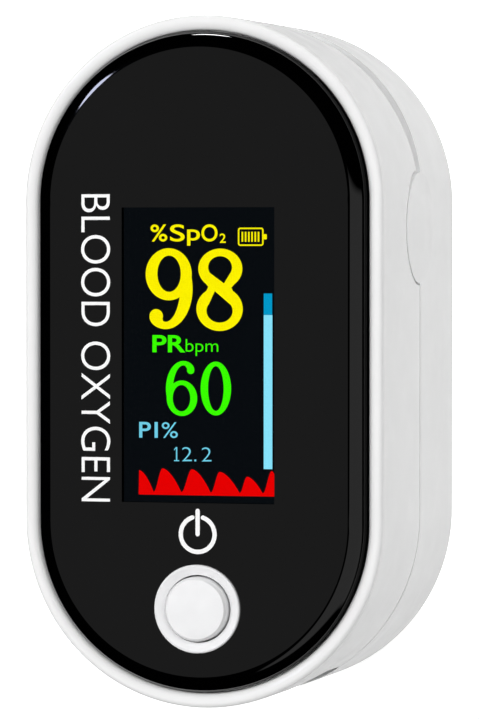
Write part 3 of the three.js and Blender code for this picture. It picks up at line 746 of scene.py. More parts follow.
def foot_chain():
    """The rounded foot, from the flat underside up to the wall."""
    for cosine, sine in quarter_turn(8):
        yield BOTTOM_ROUND * (1 - sine), BOTTOM_ROUND * (1 - cosine), False


def ear(side):
    """The domed disc that carries the hinge pin. It runs smoothly into the side wall at its edge."""
    steps = 12
    dome = []
    for i in range(steps + 1):
        share = i / steps
        dome.append((EAR_R * share, RADIUS + EAR_DOME * (1 - share**2) ** 2))
    back_x, hub_r, hub_x = RADIUS - WALL - 0.3, 2.3, 12.9
    dome += [(EAR_R, back_x), (hub_r, back_x), (hub_r, hub_x), (0, hub_x)]
    disc = lathe("ear", [(r, side * x) for r, x in dome], axis="X")
    return moved(disc, 0, HINGE_Y, PART_Z)


def door_box(name, half, bottom, play=0, bevel=0):
    """A box of the door's length and thickness, which runs out past the hinge end."""
    lo = (-half - play, DOOR_FRONT - play, bottom)
    return soft_box(name, lo, (half + play, BEYOND, DOOR_THICK + play), bevel)


def lower_shell():
    round_inside = BOTTOM_ROUND - WALL
    chain = list(foot_chain())
    chain += [(0, -FILLET, True), (0.3 * FILLET, -0.3 * FILLET, True), (FILLET, 0, True)]
    chain += [(WALL - LIP, 0, True), (WALL, -LIP, True)]
    for cosine, sine in quarter_turn(5):
        inset = WALL + round_inside * (1 - cosine)
        chain.append((inset, BASE_THICK + round_inside * (1 - sine), False))
    shell = sweep("shell_bottom", lower_edge, chain, caps=True)
    add_bosses(shell, "lower_screw", BASE_THICK - 0.4, LOWER_BOSS_TOP)
    combine(shell, "UNION", ear(1), ear(-1))
    way = door_box("way", DOOR_HALF, -1, DOOR_PLAY)
    tongues = door_box("tongues", TONGUE_HALF, TONGUE_UNDER - DOOR_PLAY, DOOR_PLAY)
    combine(shell, "DIFFERENCE", soft_box("bay", *BAY), way, tongues)
    r, aside, height = LANYARD_HOLE
    inner, outer = 26.5, 34
    for side in (1, -1):
        hole = lathe("hole", [(0, inner), (r, inner), (r, outer), (0, outer)], segments=32, axis="Y")
        combine(shell, "DIFFERENCE", moved(hole, side * aside, 0, height))
    smooth_cuts(shell)
    return place(shell, SHELL_WHITE, LOWER, "lower_shell")


def battery_door():
    chain = list(foot_chain()) + [(0, 6, False)]
    body = sweep("door", lower_edge, chain, caps=True)
    plate = door_box("door_plate", DOOR_HALF, -1, bevel=0.12)
    tongue = door_box("tongue", TONGUE_HALF, TONGUE_UNDER, bevel=0.06)
    combine(plate, "UNION", tongue)
    combine(body, "INTERSECT", plate)
    grooves, first_y, pitch, half_long, half_wide, depth = 6, -17, 1.5, 6, 0.32, 0.35
    for i in range(grooves):
        y = first_y + pitch * i
        lo, hi = (-half_long, y - half_wide, -1), (half_long, y + half_wide, depth)
        combine(body, "DIFFERENCE", soft_box("groove", lo, hi, 0.15))
    cut_arrow(body)
    smooth_cuts(body)
    body.name = "door_panel"
    return place(body, SHELL_WHITE, DOOR, "battery_door")


def cut_arrow(body):
    """A shallow triangle that points the way the door slides."""
    bm = bmesh.new()
    tip, base, half, depth = -2.2, -5.6, 2.6, 0.3
    corners = [(-half, base), (half, base), (0, tip)]
    rings = [[bm.verts.new((x, y, z)) for x, y in corners] for z in (-1, depth)]
    grid_faces(bm, rings)
    bm.faces.new(rings[0])
    bm.faces.new(rings[1])
    combine(body, "DIFFERENCE", finish_mesh("arrow", bm))


# ---- Lens and print ----------------------------------------------------------------------------


def stadium_mesh(name, levels, arc_steps=72):
    """A capped solid through (radius, height) levels of the stadium outline."""
    bm = bmesh.new()
    rings = []
    for r, z in levels:
        ring = []
        for centre, start in ((ARC_Y, 0), (-ARC_Y, 180)):
            for x, y in ellipse(0, centre, r, r, start, start + 180, arc_steps):
                ring.append(bm.verts.new((x, y, z)))
        rings.append(ring)
    grid_faces(bm, rings)
    bm.faces.new(rings[0])
    bm.faces.new(rings[-1])
    return finish_mesh(name, bm)


def face_lens():
    wide, tall = LENS_EDGE
    levels = [(LENS_R, LENS_UNDER)]
    for cosine, sine in quarter_turn(20):
        levels.append((LENS_R - wide * (1 - cosine), RIM_Z + tall * sine))
    lens = stadium_mesh("lens", levels)
    hole = upright(LENS_HOLE_R, 0, BUTTON_Y, LENS_UNDER - 1, LENS_Z + 1, 96)
    half_x, half_y = (h + 2 for h in WINDOW_HALF)
    lo = (-half_x, WINDOW_Y - half_y, LENS_UNDER - 1)
    hi = (half_x, WINDOW_Y + half_y, LENS_Z - LENS_PLATE)
    combine(lens, "DIFFERENCE", hole, soft_box("pocket", lo, hi))
    paint_window(lens)
    smooth_cuts(lens)
    return place(lens, LENS_BLACK, UPPER, "face_lens")


def paint_window(lens):
    """Cuts the window's outline into the flat faces and makes what lies inside it clear."""
    lens.data.materials.clear()
    lens.data.materials.append(LENS_BLACK)
    lens.data.materials.append(LENS_CLEAR)
    bm = bmesh.new()
    bm.from_mesh(lens.data)
    half_x, half_y = WINDOW_HALF
    for point, normal in (
        ((half_x, 0), (1, 0)),
        ((-half_x, 0), (-1, 0)),
        ((0, WINDOW_Y + half_y), (0, 1)),
        ((0, WINDOW_Y - half_y), (0, -1)),
    ):
        flats = [f for f in bm.faces if is_window_plane(f)]
        geometry = flats + [e for f in flats for e in f.edges] + [v for f in flats for v in f.verts]
        bmesh.ops.bisect_plane(
            bm,
            geom=list(dict.fromkeys(geometry)),
            plane_co=Vector((*point, 0)) * MM,
            plane_no=(*normal, 0),
        )
    for face in bm.faces:
        x, y, _ = face.calc_center_median() / MM
        inside = abs(x) < half_x and abs(y - WINDOW_Y) < half_y
        face.material_index = 1 if is_window_plane(face) and inside else 0
    bm.to_mesh(lens.data)
    bm.free()


def is_window_plane(face):
    """True for the lens's flat top and for the ceiling of its pocket."""
    z = face.calc_center_median().z / MM
    level = abs(z - LENS_Z) < 0.01 or abs(z - (LENS_Z - LENS_PLATE)) < 0.01
    return level and abs(face.normal.z) > 0.99


def flat_shape(name, loops, z):
    """A thin plate whose outline and holes are the closed loops, standing on height z."""
    curve = bpy.data.curves.new(name, "CURVE")
    curve.dimensions = "2D"
    curve.fill_mode = "BOTH"
    curve.extrude = PRINT_THICK / 2 * MM
    for loop in loops:
        spline = curve.splines.new("POLY")
        spline.points.add(len(loop) - 1)
        spline.use_cyclic_u = True
        for point, (x, y) in zip(spline.points, loop):
            point.co = (x * MM, y * MM, 0, 1)
    return curve_mesh(name, curve, z + PRINT_THICK / 2)


def curve_mesh(name, curve, z):
    """Turns a curve into a mesh object at height z."""
    temporary = add_object(name, curve)
    evaluated = temporary.evaluated_get(bpy.context.evaluated_depsgraph_get())
    mesh = bpy.data.meshes.new_from_object(evaluated)
    bpy.data.objects.remove(temporary)
    mesh.transform(Matrix.Translation((0, 0, z * MM)))
    mesh.name = name
    mesh.materials.clear()
    return add_object(name, mesh)


def lettering(name, text, left, bottom, width, height, z, weight=0.0, upright_text=False):
    """Text from the built-in font, fitted to a box on the face. Weight thickens its strokes."""
    curve = bpy.data.curves.new(name, "FONT")
    curve.body = text
    curve.size = 1
    curve.offset = weight
    curve.extrude = PRINT_THICK / 2
    obj = curve_mesh(name, curve, 0)
    if upright_text:
        obj.data.transform(Matrix.Rotation(-math.pi / 2, 4, "Z"))
    xs = [v.co.x for v in obj.data.vertices]
    ys = [v.co.y for v in obj.data.vertices]
    scale_x = width * MM / (max(xs) - min(xs))
    scale_y = height * MM / (max(ys) - min(ys))
    obj.data.transform(
        Matrix.Translation((left * MM, bottom * MM, (z + PRINT_THICK / 2) * MM))
        @ Matrix.Diagonal((scale_x, scale_y, MM, 1))
        @ Matrix.Translation((-min(xs), -min(ys), 0))
    )
    return obj


def merge(name, objects):
    """Joins several meshes into one piece."""
    bm = bmesh.new()
    for obj in objects:
        bm.from_mesh(obj.data)
    mesh = bpy.data.meshes.new(name)
    bm.to_mesh(mesh)
    bm.free()
    for obj in objects:
        bpy.data.objects.remove(obj)
    return add_object(name, mesh)


def face_print():
    """The white print on the lens: a vertical label and the power symbol."""
    left, bottom, width, height = -10.95, -12.6, 2.75, 27.7
    label = lettering("label_print", "BLOOD OXYGEN", left, bottom, width, height, PRINT_Z, -0.008, True)
    place(label, PRINT_WHITE, UPPER)
    place(power_symbol(0, -15.4), PRINT_WHITE, UPPER)


def power_symbol(x, y):
    """An open ring with round ends, and a bar through its opening."""
    radius, half, opening = 1.58, 0.2, 18
    start, end = 90 + opening, 450 - opening

    def round_end(angle, first):
        turn = math.radians(angle)
        centre = (x + radius * math.cos(turn), y + radius * math.sin(turn))
        return ellipse(*centre, half, half, first, first + 180, 8)

    outline = ellipse(x, y, radius + half, radius + half, start, end)
    outline += round_end(end, end)
    outline += ellipse(x, y, radius - half, radius - half, end, start)
    outline += round_end(start, start + 180)
    ring = flat_shape("power_ring", [outline], PRINT_Z)
    bar = rectangle(x - half, x + half, y - 0.18, y + 2.3, 0.19)
    bar = flat_shape("power_bar", [bar], PRINT_Z)
    return merge("power_symbol", [ring, bar])


# ---- Display graphics --------------------------------------------------------------------------


def fitted(loops, left, bottom, scale):
    return [[(left + x * scale, bottom + y * scale) for x, y in loop] for loop in loops]


def hooked_digit(bowl, counter, spine, inner, hook, ball):
    """A nine: a bowl, and a spine that runs down its right side into a hook with a ball. Each part is
    an ellipse given by its middle and its half width and half height, and the ball is a circle."""
    ring = [ellipse(*bowl), ellipse(*counter)]
    spine_in_x = inner[0] + inner[2]
    tail = ellipse(*spine, 60, -90, 30)
    tail += ellipse(*hook, -90, -180, 16)
    tail += ellipse(ball[0], ball[1], ball[2], ball[2], 180, -20, 20)
    tail += ellipse(*inner, -100, 0, 30)
    tail.append((spine_in_x, counter[1] + counter[3] / 2))
    return [ring, [tail]]


def turned_over(pieces, width, height):
    """The same pieces after half a turn in their box: a nine becomes a six."""
    return [[[(width - x, height - y) for x, y in loop] for loop in loops] for loops in pieces]


def figure_eight():
    top = (2.22, 5.54, 2.05, 1.8)
    bottom = (2.15, 1.93, 2.16, 1.97)
    outline = ellipse(*top, -50, 230, 48) + [(1.1, 3.91)]
    outline += ellipse(*bottom, 125, 415, 48) + [(3.25, 3.84)]
    upper_counter = ellipse(2.2, 5.66, 1.11, 1.0, -35, 210, 40) + [(2.56, 4.22)]
    lower_counter = ellipse(2.15, 1.76, 1.22, 1.05, 145, 390, 40) + [(1.71, 3.53)]
    return [[outline, upper_counter, lower_counter]]


def draw_digit(name, pieces, left, bottom, scale, material):
    parts = []
    for i, loops in enumerate(pieces):
        parts.append(flat_shape(name, fitted(loops, left + PARALLAX, bottom, scale), GLYPH_Z + 0.004 * i))
    place(merge(name, parts), material, UPPER)


def draw_text(name, text, left, bottom, width, height, material, weight=0.0):
    obj = lettering(name, text, left + PARALLAX, bottom, width, height, GLYPH_Z, weight)
    place(obj, material, UPPER)


def rectangle(x0, x1, y0, y1, radius=0.0):
    return rounded([(x0, y0, radius), (x1, y0, radius), (x1, y1, radius), (x0, y1, radius)])


def draw_shape(name, loops, material):
    shape = flat_shape(name, fitted(loops, PARALLAX, 0, 1), GLYPH_Z)
    place(shape, material, UPPER)


def battery_icon():
    """Outline, nub and six charge bars."""
    left, right, low, high, line = 3.7, 6.08, 10.45, 12.08, 0.13
    loops = [
        rectangle(left, right, low, high, 0.22),
        rectangle(left + line, right - line, low + line, high - line, 0.1),
        rectangle(right + 0.01, right + 0.3, 11.03, 11.5, 0.06),
    ]
    bars, pitch, margin = 6, 0.3, 0.37
    for i in range(bars):
        x = left + 0.34 + pitch * i
        loops.append(rectangle(x, x + pitch / 2, low + margin, high - margin))
    draw_shape("battery_icon", loops, YELLOW)


def pulse_wave():
    """The filled pulse trace: each beat climbs steeply and falls in a slower bulging curve. A beat is
    the place of its peak, the peak's height and the place where the beat ends."""
    base, steps = -11.95, 8
    left, right = -5.6, 7.1
    beats = [(-5.55, -9.75, -4.2), (-3.35, -9.55, -1.6), (-0.6, -9.6, 1.15)]
    beats += [(2.0, -9.8, 3.85), (4.55, -10.2, 6.0), (6.85, -9.65, 7.6)]
    points = [(left, base)]
    start = left
    for peak, top, end in beats:
        valley = base + 0.28
        for i in range(steps + 1):
            t = i / steps
            rise = 0.5 - 0.5 * math.cos(math.pi * t)
            points.append((start + (peak - start) * t, valley + (top - valley) * rise))
        for i in range(1, steps + 1):
            t = i / steps
            points.append((peak + (end - peak) * t, top + (valley - top) * t**1.7))
        start = end + 0.02
    points = [(min(max(x, left), right), y) for x, y in points]
    points.append((right, base))
    draw_shape("pulse_wave", [points], RED)


def flagged_one(left, bottom, width, height):
    """A one with a flag and a foot."""
    line, flag = 0.12, 0.2
    bar_left = left + width / 2 - line / 2
    bar_right = bar_left + line
    right, foot, top = left + width, bottom + line * 0.8, bottom + height
    outline = [(left, bottom), (right, bottom), (right, foot), (bar_right, foot), (bar_right, top)]
    outline += [(bar_left, top), (left, top - flag), (left, top - flag - line), (bar_left, top - line)]
    outline += [(bar_left, foot), (left, foot)]
    draw_shape("index_one", [outline], CYAN)


def display_graphics():
    """Everything on the display. After a text come its left edge, its bottom, its width and height."""
    nine = hooked_digit(
        (2.16, 4.93, 2.16, 2.34),
        (2.2, 4.98, 1.1, 1.63),
        (1.88, 3.64, 2.52, 3.64),
        (1.88, 4.22, 1.42, 3.56),
        (1.88, 1.12, 1.52, 1.12),
        (0.99, 1.17, 0.63),
    )
    six = hooked_digit(
        (1.46, 3.42, 1.46, 1.63),
        (1.5, 3.42, 0.84, 1.21),
        (1.32, 2.54, 1.67, 2.54),
        (1.32, 2.82, 1.02, 2.41),
        (1.32, 0.85, 1.05, 0.85),
        (0.62, 0.85, 0.35),
    )
    zero = [[ellipse(1.49, 2.53, 1.49, 2.53), ellipse(1.49, 2.53, 0.76, 2.1)]]
    draw_digit("spo2_nine", nine, -4.93, 2.97, 1.0, YELLOW)
    draw_digit("spo2_eight", figure_eight(), -0.16, 2.87, 1.0, YELLOW)
    draw_digit("pulse_six", turned_over(six, 2.99, 5.08), -3.03, -4.86, 0.98, GREEN)
    draw_digit("pulse_zero", zero, 0.22, -4.75, 0.955, GREEN)
    letters = (("%", -4.47, 1.57), ("S", -2.64, 1.37), ("O", 0.3, 1.5))
    for index, (letter, left, width) in enumerate(letters):
        draw_text(f"spo2_letter_{index}", letter, left, 10.84, width, 1.54, YELLOW, 0.01)
    draw_text("spo2_letter_p", "p", -1.04, 10.47, 1.2, 1.45, YELLOW, 0.01)
    draw_text("spo2_small_two", "2", 2.0, 10.72, 0.57, 0.84, YELLOW, 0.01)
    draw_text("pulse_name", "PR", -4.3, 0.88, 3.1, 1.55, GREEN, 0.02)
    draw_text("pulse_unit", "bpm", -1.18, 0.58, 3.05, 1.5, GREEN, -0.006)
    draw_text("index_letter_p", "P", -5.55, -6.82, 1.1, 1.42, CYAN, 0.012)
    draw_text("index_letter_i", "I", -4.1, -6.82, 0.3, 1.42, CYAN)
    draw_text("index_unit", "%", -3.42, -6.82, 1.5, 1.42, CYAN)
    flagged_one(-2.27, -8.9, 0.48, 1.27)
    draw_text("index_first_two", "2", -1.52, -8.9, 0.92, 1.27, CYAN, -0.014)
    draw_shape("index_point", [rectangle(-0.37, -0.19, -8.9, -8.72, 0.06)], CYAN)
    draw_text("index_second_two", "2", 0.33, -8.9, 0.9, 1.27, CYAN, -0.014)
    draw_shape("level_low", [rectangle(6.1, 6.9, -9.5, 4.28)], LIGHT_CYAN)
    draw_shape("level_high", [rectangle(6.1, 6.88, 4.3, 6.2)], DEEP_CYAN)
    battery_icon()
    pulse_wave()


# ---- Button ------------------------------------------------------------------------------------


def button_ring():
    top = LENS_Z + 0.42
    profile = rounded(
        [
            (RING_BORE, LENS_UNDER, 0),
            (RING_SLEEVE_R, LENS_UNDER, 0),
            (RING_SLEEVE_R, LENS_Z + 0.01, 0),
            (RING_R, LENS_Z + 0.01, 0.02),
            (RING_R, LENS_Z + 0.34, 0.12),
            (RING_R - 0.16, top, 0.08),
            (RING_BORE + 0.3, LENS_Z + 0.2, 0.2),
            (RING_BORE, LENS_Z + 0.02, 0.06),
        ],
        3,
    )
    ring = lathe("ring", profile, 0, BUTTON_Y, 128, closed=True)
    weigh_normals(ring)
    return place(ring, BUTTON_WHITE, UPPER, "button_ring")


def button_cap():
    under = cad("button_cap")[0].z
    flange = under + 0.2
    profile = rounded(
        [
            (0, under, 0),
            (1.2, under, 0.1),
            (1.2, flange, 0.04),
            (3.55, flange, 0.05),
            (3.55, flange + 0.6, 0.05),
            (2.9, flange + 0.6, 0.05),
            (2.9, LENS_Z + 0.5, 0.1),
            (2.68, CAP_TOP - 0.03, 0.1),
            (0, CAP_TOP - 0.03, 0),
        ],
        5,
    )
    cap = lathe("cap", profile, 0, BUTTON_Y, 128)
    weigh_normals(cap)
    return place(cap, BUTTON_WHITE, BUTTON, "button_cap")


# ---- Pieces inside -----------------------------------------------------------------------------


def smooth_path(points, per_step=8):
    """Points along a Catmull-Rom curve through the ones given."""
    knots = [Vector(p) for p in points]
    knots = [2 * knots[0] - knots[1]] + knots + [2 * knots[-1] - knots[-2]]
    path = []
    for a, b, c, d in zip(knots, knots[1:], knots[2:], knots[3:]):
        for i in range(per_step):
            t = i / per_step
            cubic = (3 * b - a - 3 * c + d) * t**3
            path.append(0.5 * (2 * b + (c - a) * t + (2 * a - 5 * b + 4 * c - d) * t**2 + cubic))
    path.append(knots[-2])
    return path


def along_path(name, path, section):
    """A solid with the same section all along a path, turning no more than the path does."""
    bm = bmesh.new()
    rings = []
    side = Vector((1, 0, 0))
    for i, point in enumerate(path):
        tangent = (path[min(i + 1, len(path) - 1)] - path[max(i - 1, 0)]).normalized()
        side = (side - tangent * side.dot(tangent)).normalized()
        up = tangent.cross(side)
        rings.append([bm.verts.new(point + side * u + up * v) for u, v in section])
    grid_faces(bm, rings)
    bm.faces.new(rings[0])
    bm.faces.new(rings[-1])
    return finish_mesh(name, bm)


def wire(name, path, radius):
    return along_path(name, path, ellipse(0, 0, radius, radius, steps=12))


def across_hinge(obj, material, node):
    """A piece that runs across the hinge: it gets its material, hides its CAD node and keeps its place."""
    obj.data.materials.append(material)
    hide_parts(node)
    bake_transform(obj)


def torsion_spring(side, words):
    """Coils round the pin with a leg at each end, which lies along the cover that it pushes."""
    coil_r, turns, pitch, coil_x, wire_r = 1.6, 3.4, 0.72, 6.6, 0.28
    low_leg, high_leg, leg_steps, coil_steps = 6.2, 7.4, 6, 120
    start = math.radians(-104)
    end = start + 2 * math.pi * turns

    def on_coil(angle):
        x = coil_x + pitch * (angle - start) / (2 * math.pi)
        return Vector((side * x, HINGE_Y - coil_r * math.cos(angle), PART_Z + coil_r * math.sin(angle)))

    def tangent(angle):
        return Vector((0, math.sin(angle), math.cos(angle)))

    path = [on_coil(start) - tangent(start) * low_leg * (1 - i / leg_steps) for i in range(leg_steps)]
    path += [on_coil(start + (end - start) * i / coil_steps) for i in range(coil_steps + 1)]
    path += [on_coil(end) + tangent(end) * high_leg * (i + 1) / leg_steps for i in range(leg_steps)]
    spring = wire(f"spring_{words}", path, wire_r)
    across_hinge(spring, SPRING_STEEL, f"torsion_spring_{words}")


def contact_spring(node):
    """A conical spring between a contact plate and the flat end of a cell, wide at the plate."""
    lo, hi = cad(node)
    front = middle(node).y < 0
    turns, wide, narrow, wire_r = 3, 3.7, 1.7, 0.25
    near, far = (lo.y + wire_r, hi.y - wire_r) if front else (hi.y - wire_r, lo.y + wire_r)
    path = []
    steps = turns * 32
    for i in range(steps + 1):
        t = i / steps
        angle = 2 * math.pi * turns * t
        r = wide + (narrow - wide) * t
        x = SPRING_X[node] + r * math.cos(angle)
        path.append(Vector((x, near + (far - near) * t, CELL_Z + r * math.sin(angle))))
    place(wire(f"{node}_wire", path, wire_r), NICKEL, LOWER, node)


def cell(node):
    """An AAA cell: a sleeve with a pale band at the nub's end, and bare metal at both ends."""
    lo, hi = cad(node)
    nub_at_rear = node == "battery_left"
    length = hi.y - lo.y
    band = 9
    profile = rounded(
        [
            (0, 0, 0),
            (1.9, 0, 0.25),
            (1.9, 1, 0.1),
            (CELL_R - 0.7, 1, 0.1),
            (CELL_R - 0.45, 1.35, 0.1),
            (CELL_R, 1.5, 0.25),
            (CELL_R, band, 0),
            (CELL_R, length - 0.4, 0.3),
            (CELL_R - 0.6, length, 0.12),
            (0, length, 0),
        ],
        5,
    )
    obj = lathe(f"{node}_cell", profile, axis="Y")
    for material in (CELL_WRAP, CELL_BAND, NICKEL):
        obj.data.materials.append(material)
    for polygon in obj.data.polygons:
        x, along, z = polygon.center / MM
        if math.hypot(x, z) < CELL_R - 0.2:
            polygon.material_index = 2
        elif along < band:
            polygon.material_index = 1
    if nub_at_rear:
        obj.data.transform(Matrix.Rotation(math.pi, 4, "Z"))
    moved(obj, (lo.x + hi.x) / 2, hi.y if nub_at_rear else lo.y, CELL_Z)
    weigh_normals(obj)
    place(obj, CELL_WRAP, LOWER, node)


def screw(node):
    """A pan-headed self-tapping screw with a cross recess. Its thread is a row of rings."""
    lo, hi = cad(node)
    upper = node.startswith("upper")
    centre = (lo + hi) / 2
    head = [(0, 0, 0), (1.3, 0, 0.15), (1.4, 0.25, 0.1), (1.4, 0.75, 0.05), (0.55, 0.75, 0.05)]
    profile = rounded(head, 3)
    threads, first, pitch, root, crest = 9, 0.95, 0.44, 0.48, 0.6
    for i in range(threads):
        along = first + pitch * i
        profile += [(root, along), (crest, along + 0.16), (crest, along + 0.2), (root, along + 0.36)]
    profile += [(0.42, 5.1), (0, 5.6)]
    obj = lathe(f"{node}_piece", profile, segments=40, sharp_deg=25)
    long, narrow, depth = 0.8, 0.16, 0.42
    for x, y in ((long, narrow), (narrow, long)):
        combine(obj, "DIFFERENCE", soft_box("recess", (-x, -y, -1), (x, y, depth)))
    resmooth(obj, 25)
    if not upper:
        obj.data.transform(Matrix.Rotation(math.pi, 4, "X"))
    moved(obj, centre.x, centre.y, lo.z if upper else hi.z)
    place(obj, STEEL, UPPER if upper else LOWER, node)


def oval_block(name, power, levels, points=96):
    """A solid through (half width, half height, y) superellipses about the finger tunnel's middle."""
    bm = bmesh.new()
    rings = []
    for half_width, half_height, y in levels:
        ring = []
        for i in range(points):
            angle = 2 * math.pi * i / points
            c, s = math.cos(angle), math.sin(angle)
            x = half_width * math.copysign(abs(c) ** (2 / power), c)
            z = TUNNEL_Z + half_height * math.copysign(abs(s) ** (2 / power), s)
            ring.append(bm.verts.new((x, y, z)))
        rings.append(ring)
    grid_faces(bm, rings)
    bm.faces.new(rings[0])
    bm.faces.new(rings[-1])
    return finish_mesh(name, bm)


def finger_pad(node, body):
    """One silicone pad: half of an oval block with the finger tunnel through it."""
    upper = body == UPPER
    front, end = cad(node)[0].y, cad(node)[1].y
    half_width, half_height, mouth_y = 9, 4.2, -31
    block = oval_block("pad_block", 3.2, [(half_width, half_height, y) for y in (mouth_y, end)])
    tunnel = oval_block(
        "pad_tunnel",
        2.4,
        [(8.2, 3.5, -33), (7.75, 3.2, -30), (7.3, 2.92, -27.8), (7, 2.75, -26), (6.7, 2.6, 2.4)],
    )
    gap, hole_r, edge_r = 0.15, 2.1, RADIUS - 0.9
    low, high = (TUNNEL_Z + gap, BEYOND) if upper else (0, TUNNEL_Z - gap)
    hole_low, hole_high = (18, BEYOND) if upper else (0, 17)
    half = soft_box("pad_half", (-20, front - 1, low), (20, 60, high))
    outline = stadium_mesh("pad_outline", [(edge_r, 0), (edge_r, BEYOND)])
    hole = upright(hole_r, 0, SENSOR_Y, hole_low, hole_high)
    combine(block, "DIFFERENCE", tunnel)
    combine(block, "INTERSECT", half)
    combine(block, "INTERSECT", outline)
    combine(block, "DIFFERENCE", hole)
    split_large_faces(block)
    smooth_cuts(block, 38)
    block.name = f"{node}_skin"
    place(block, SILICONE, body, node)


def hinge_pin():
    lo, hi = cad("hinge_pin")
    r = (hi.z - lo.z) / 2
    profile = rounded([(0, lo.x, 0), (r, lo.x, 0.15), (r, hi.x, 0.15), (0, hi.x, 0)], 5)
    pin = lathe("pin", profile, segments=64, axis="X")
    place(moved(pin, 0, HINGE_Y, PART_Z), STEEL, LOWER, "hinge_pin")


def wiring():
    """The flat cable and the two battery leads, which cross the hinge. Each route
    is a list of (y, z) points from the lower half up to the main board."""
    board_under = cad("main_board")[0].z
    route = [(-10.2, 12.38), (-4, 12.38), (4, 12.38), (6.8, 12.6), (7.25, 14.6), (6.9, 17.2), (7.5, 19.8)]
    route += [(7.6, 22.6), (7.6, board_under - 0.2)]
    strip = along_path(
        "flex_strip",
        smooth_path([(0, y, z) for y, z in route]),
        rounded([(u, v, 0.05) for u, v in ((-2.5, -0.1), (2.5, -0.1), (2.5, 0.1), (-2.5, 0.1))]),
    )
    across_hinge(strip, FLEX_AMBER, "flex_cable")
    route = [(22.6, 11.7), (20, 11.7), (16.8, 11.7), (15.3, 12.2), (15.05, 14), (15.1, 18.5)]
    route += [(15.2, board_under - 0.4)]
    leads = ((1, "right", LEAD_RED, "lead_red"), (-1, "left", LEAD_BLACK, "lead_black"))
    for side, words, material, slot in leads:
        lead = wire(f"lead_{words}_wire", smooth_path([(side * 0.9, y, z) for y, z in route]), 0.35)
        across_hinge(lead, material, f"battery_lead_{words}")


def chip(node, pins):
    """A moulded chip package with gull-wing pins along two sides and a dot at its first pin."""
    lo, hi = cad(node)
    body = soft_box("chip", (lo.x + 0.3, lo.y, lo.z + 0.1), (hi.x - 0.3, hi.y, hi.z), 0.06)
    dot = upright(0.22, lo.x + 0.8, lo.y + 0.5, hi.z - 0.05, hi.z + 0.05, 24)
    combine(body, "DIFFERENCE", dot)
    resmooth(body)
    body.name = f"{node}_body"
    place(body, CHIP_BLACK, UPPER, node)
    legs = []
    pitch = (hi.y - lo.y) / pins
    for i in range(pins):
        y = lo.y + pitch * (i + 0.5)
        for edge, inward in ((lo.x, 0.35), (hi.x, -0.35)):
            x0, x1 = sorted((edge, edge + inward))
            legs.append(soft_box("leg", (x0, y - pitch / 4, lo.z), (x1, y + pitch / 4, lo.z + 0.22), 0.04))
    place(merge(f"{node}_pins", legs), NICKEL, UPPER)


def small_block(node, material, body, bevel):
    """A moulded block, such as a light source or a crystal's can."""
    lo, hi = cad(node)
    place(soft_box(f"{node}_block", lo, hi, bevel, 4), material, body, node)


def inner_pieces():
    finger_pad("upper_finger_pad", UPPER)
    finger_pad("lower_finger_pad", LOWER)
    hinge_pin()
    torsion_spring(1, "right")
    torsion_spring(-1, "left")
    for node in SPRING_X:
        contact_spring(node)
    cell("battery_left")
    cell("battery_right")
    for node in SCREWS:
        screw(node)
    wiring()
    chip("processor_chip", 14)
    chip("analog_chip", 8)
    small_block("crystal", NICKEL, UPPER, 0.3)
    small_block("emitter_led", EPOXY, UPPER, 0.25)
    small_block("photodiode", EPOXY, LOWER, 0.25)
    for node in ("battery_link_contact", "positive_contact", "negative_contact"):
        small_block(node, NICKEL, LOWER, 0.08)


# ---- Camera, light and floor -------------------------------------------------------------------


def axes_facing(back):
    """The axes of something that looks the other way along back, with +Y upwards."""
    right = Vector((0, 1, 0)).cross(back).normalized()
    return right, back.cross(right), back


def camera():
    """Looks down on the face from its right and a little from the hinge end."""
    side, tip = (math.radians(d) for d in CAMERA_DEG)
    back = Vector((math.sin(side) * math.cos(tip), math.sin(tip), math.cos(side) * math.cos(tip)))
    right, up, back = axes_facing(back)
    face = Vector((0, 0, RIM_Z))
    data = bpy.data.cameras.new("camera")
    data.lens = CAMERA_LENS
    data.sensor_width = 36
    data.clip_start = 0.01
    data.clip_end = 20
    obj = add_object("camera", data)
    obj.location = (face + back * CAMERA_DISTANCE) * MM
    aim = (face + right * CAMERA_AIM[0] + up * CAMERA_AIM[1]) * MM
    obj.rotation_mode = "QUATERNION"
    turn = Matrix(axes_facing((obj.location - aim).normalized())).transposed()
    obj.rotation_quaternion = turn.to_quaternion()
    bpy.context.scene.camera = obj


def area_light(name, shape, size, radiance):
    """A light whose power follows from its size in metres and how bright its surface is."""
    data = bpy.data.lights.new(name, "AREA")
    data.shape = shape
    data.size, data.size_y = size
    data.energy = radiance * math.pi * size[0] * size[1]
    return add_object(name, data)


def panel_light(name, direction, distance, size, radiance):
    """A soft rectangular light that faces the object. It lights surfaces but isn't seen in them."""
    obj = area_light(name, "RECTANGLE", size, radiance)
    turn_light(obj, (0, 0, 25), direction, distance, (1, 0, 0))
    obj.visible_glossy = False


def glint_light(name, aim, direction, long_side, size, radiance, colour=(1, 1, 1)):
    """A small bright ellipse that is seen as a glint in the lens and lights nothing else."""
    obj = area_light(name, "ELLIPSE", size, radiance)
    obj.data.color = colour
    turn_light(obj, aim, direction, 0.8, long_side)
    obj.visible_diffuse = False


def turn_light(obj, aim, direction, distance, long_side):
    """Stands a light off from a point, facing it, with its first side along the one given."""
    back = Vector(direction).normalized()
    side = (Vector(long_side) - back * back.dot(Vector(long_side))).normalized()
    obj.location = Vector(aim) * MM + back * distance
    obj.rotation_mode = "QUATERNION"
    obj.rotation_quaternion = Matrix((side, back.cross(side), back)).transposed().to_quaternion()
    obj.visible_camera = False
    obj.visible_transmission = False


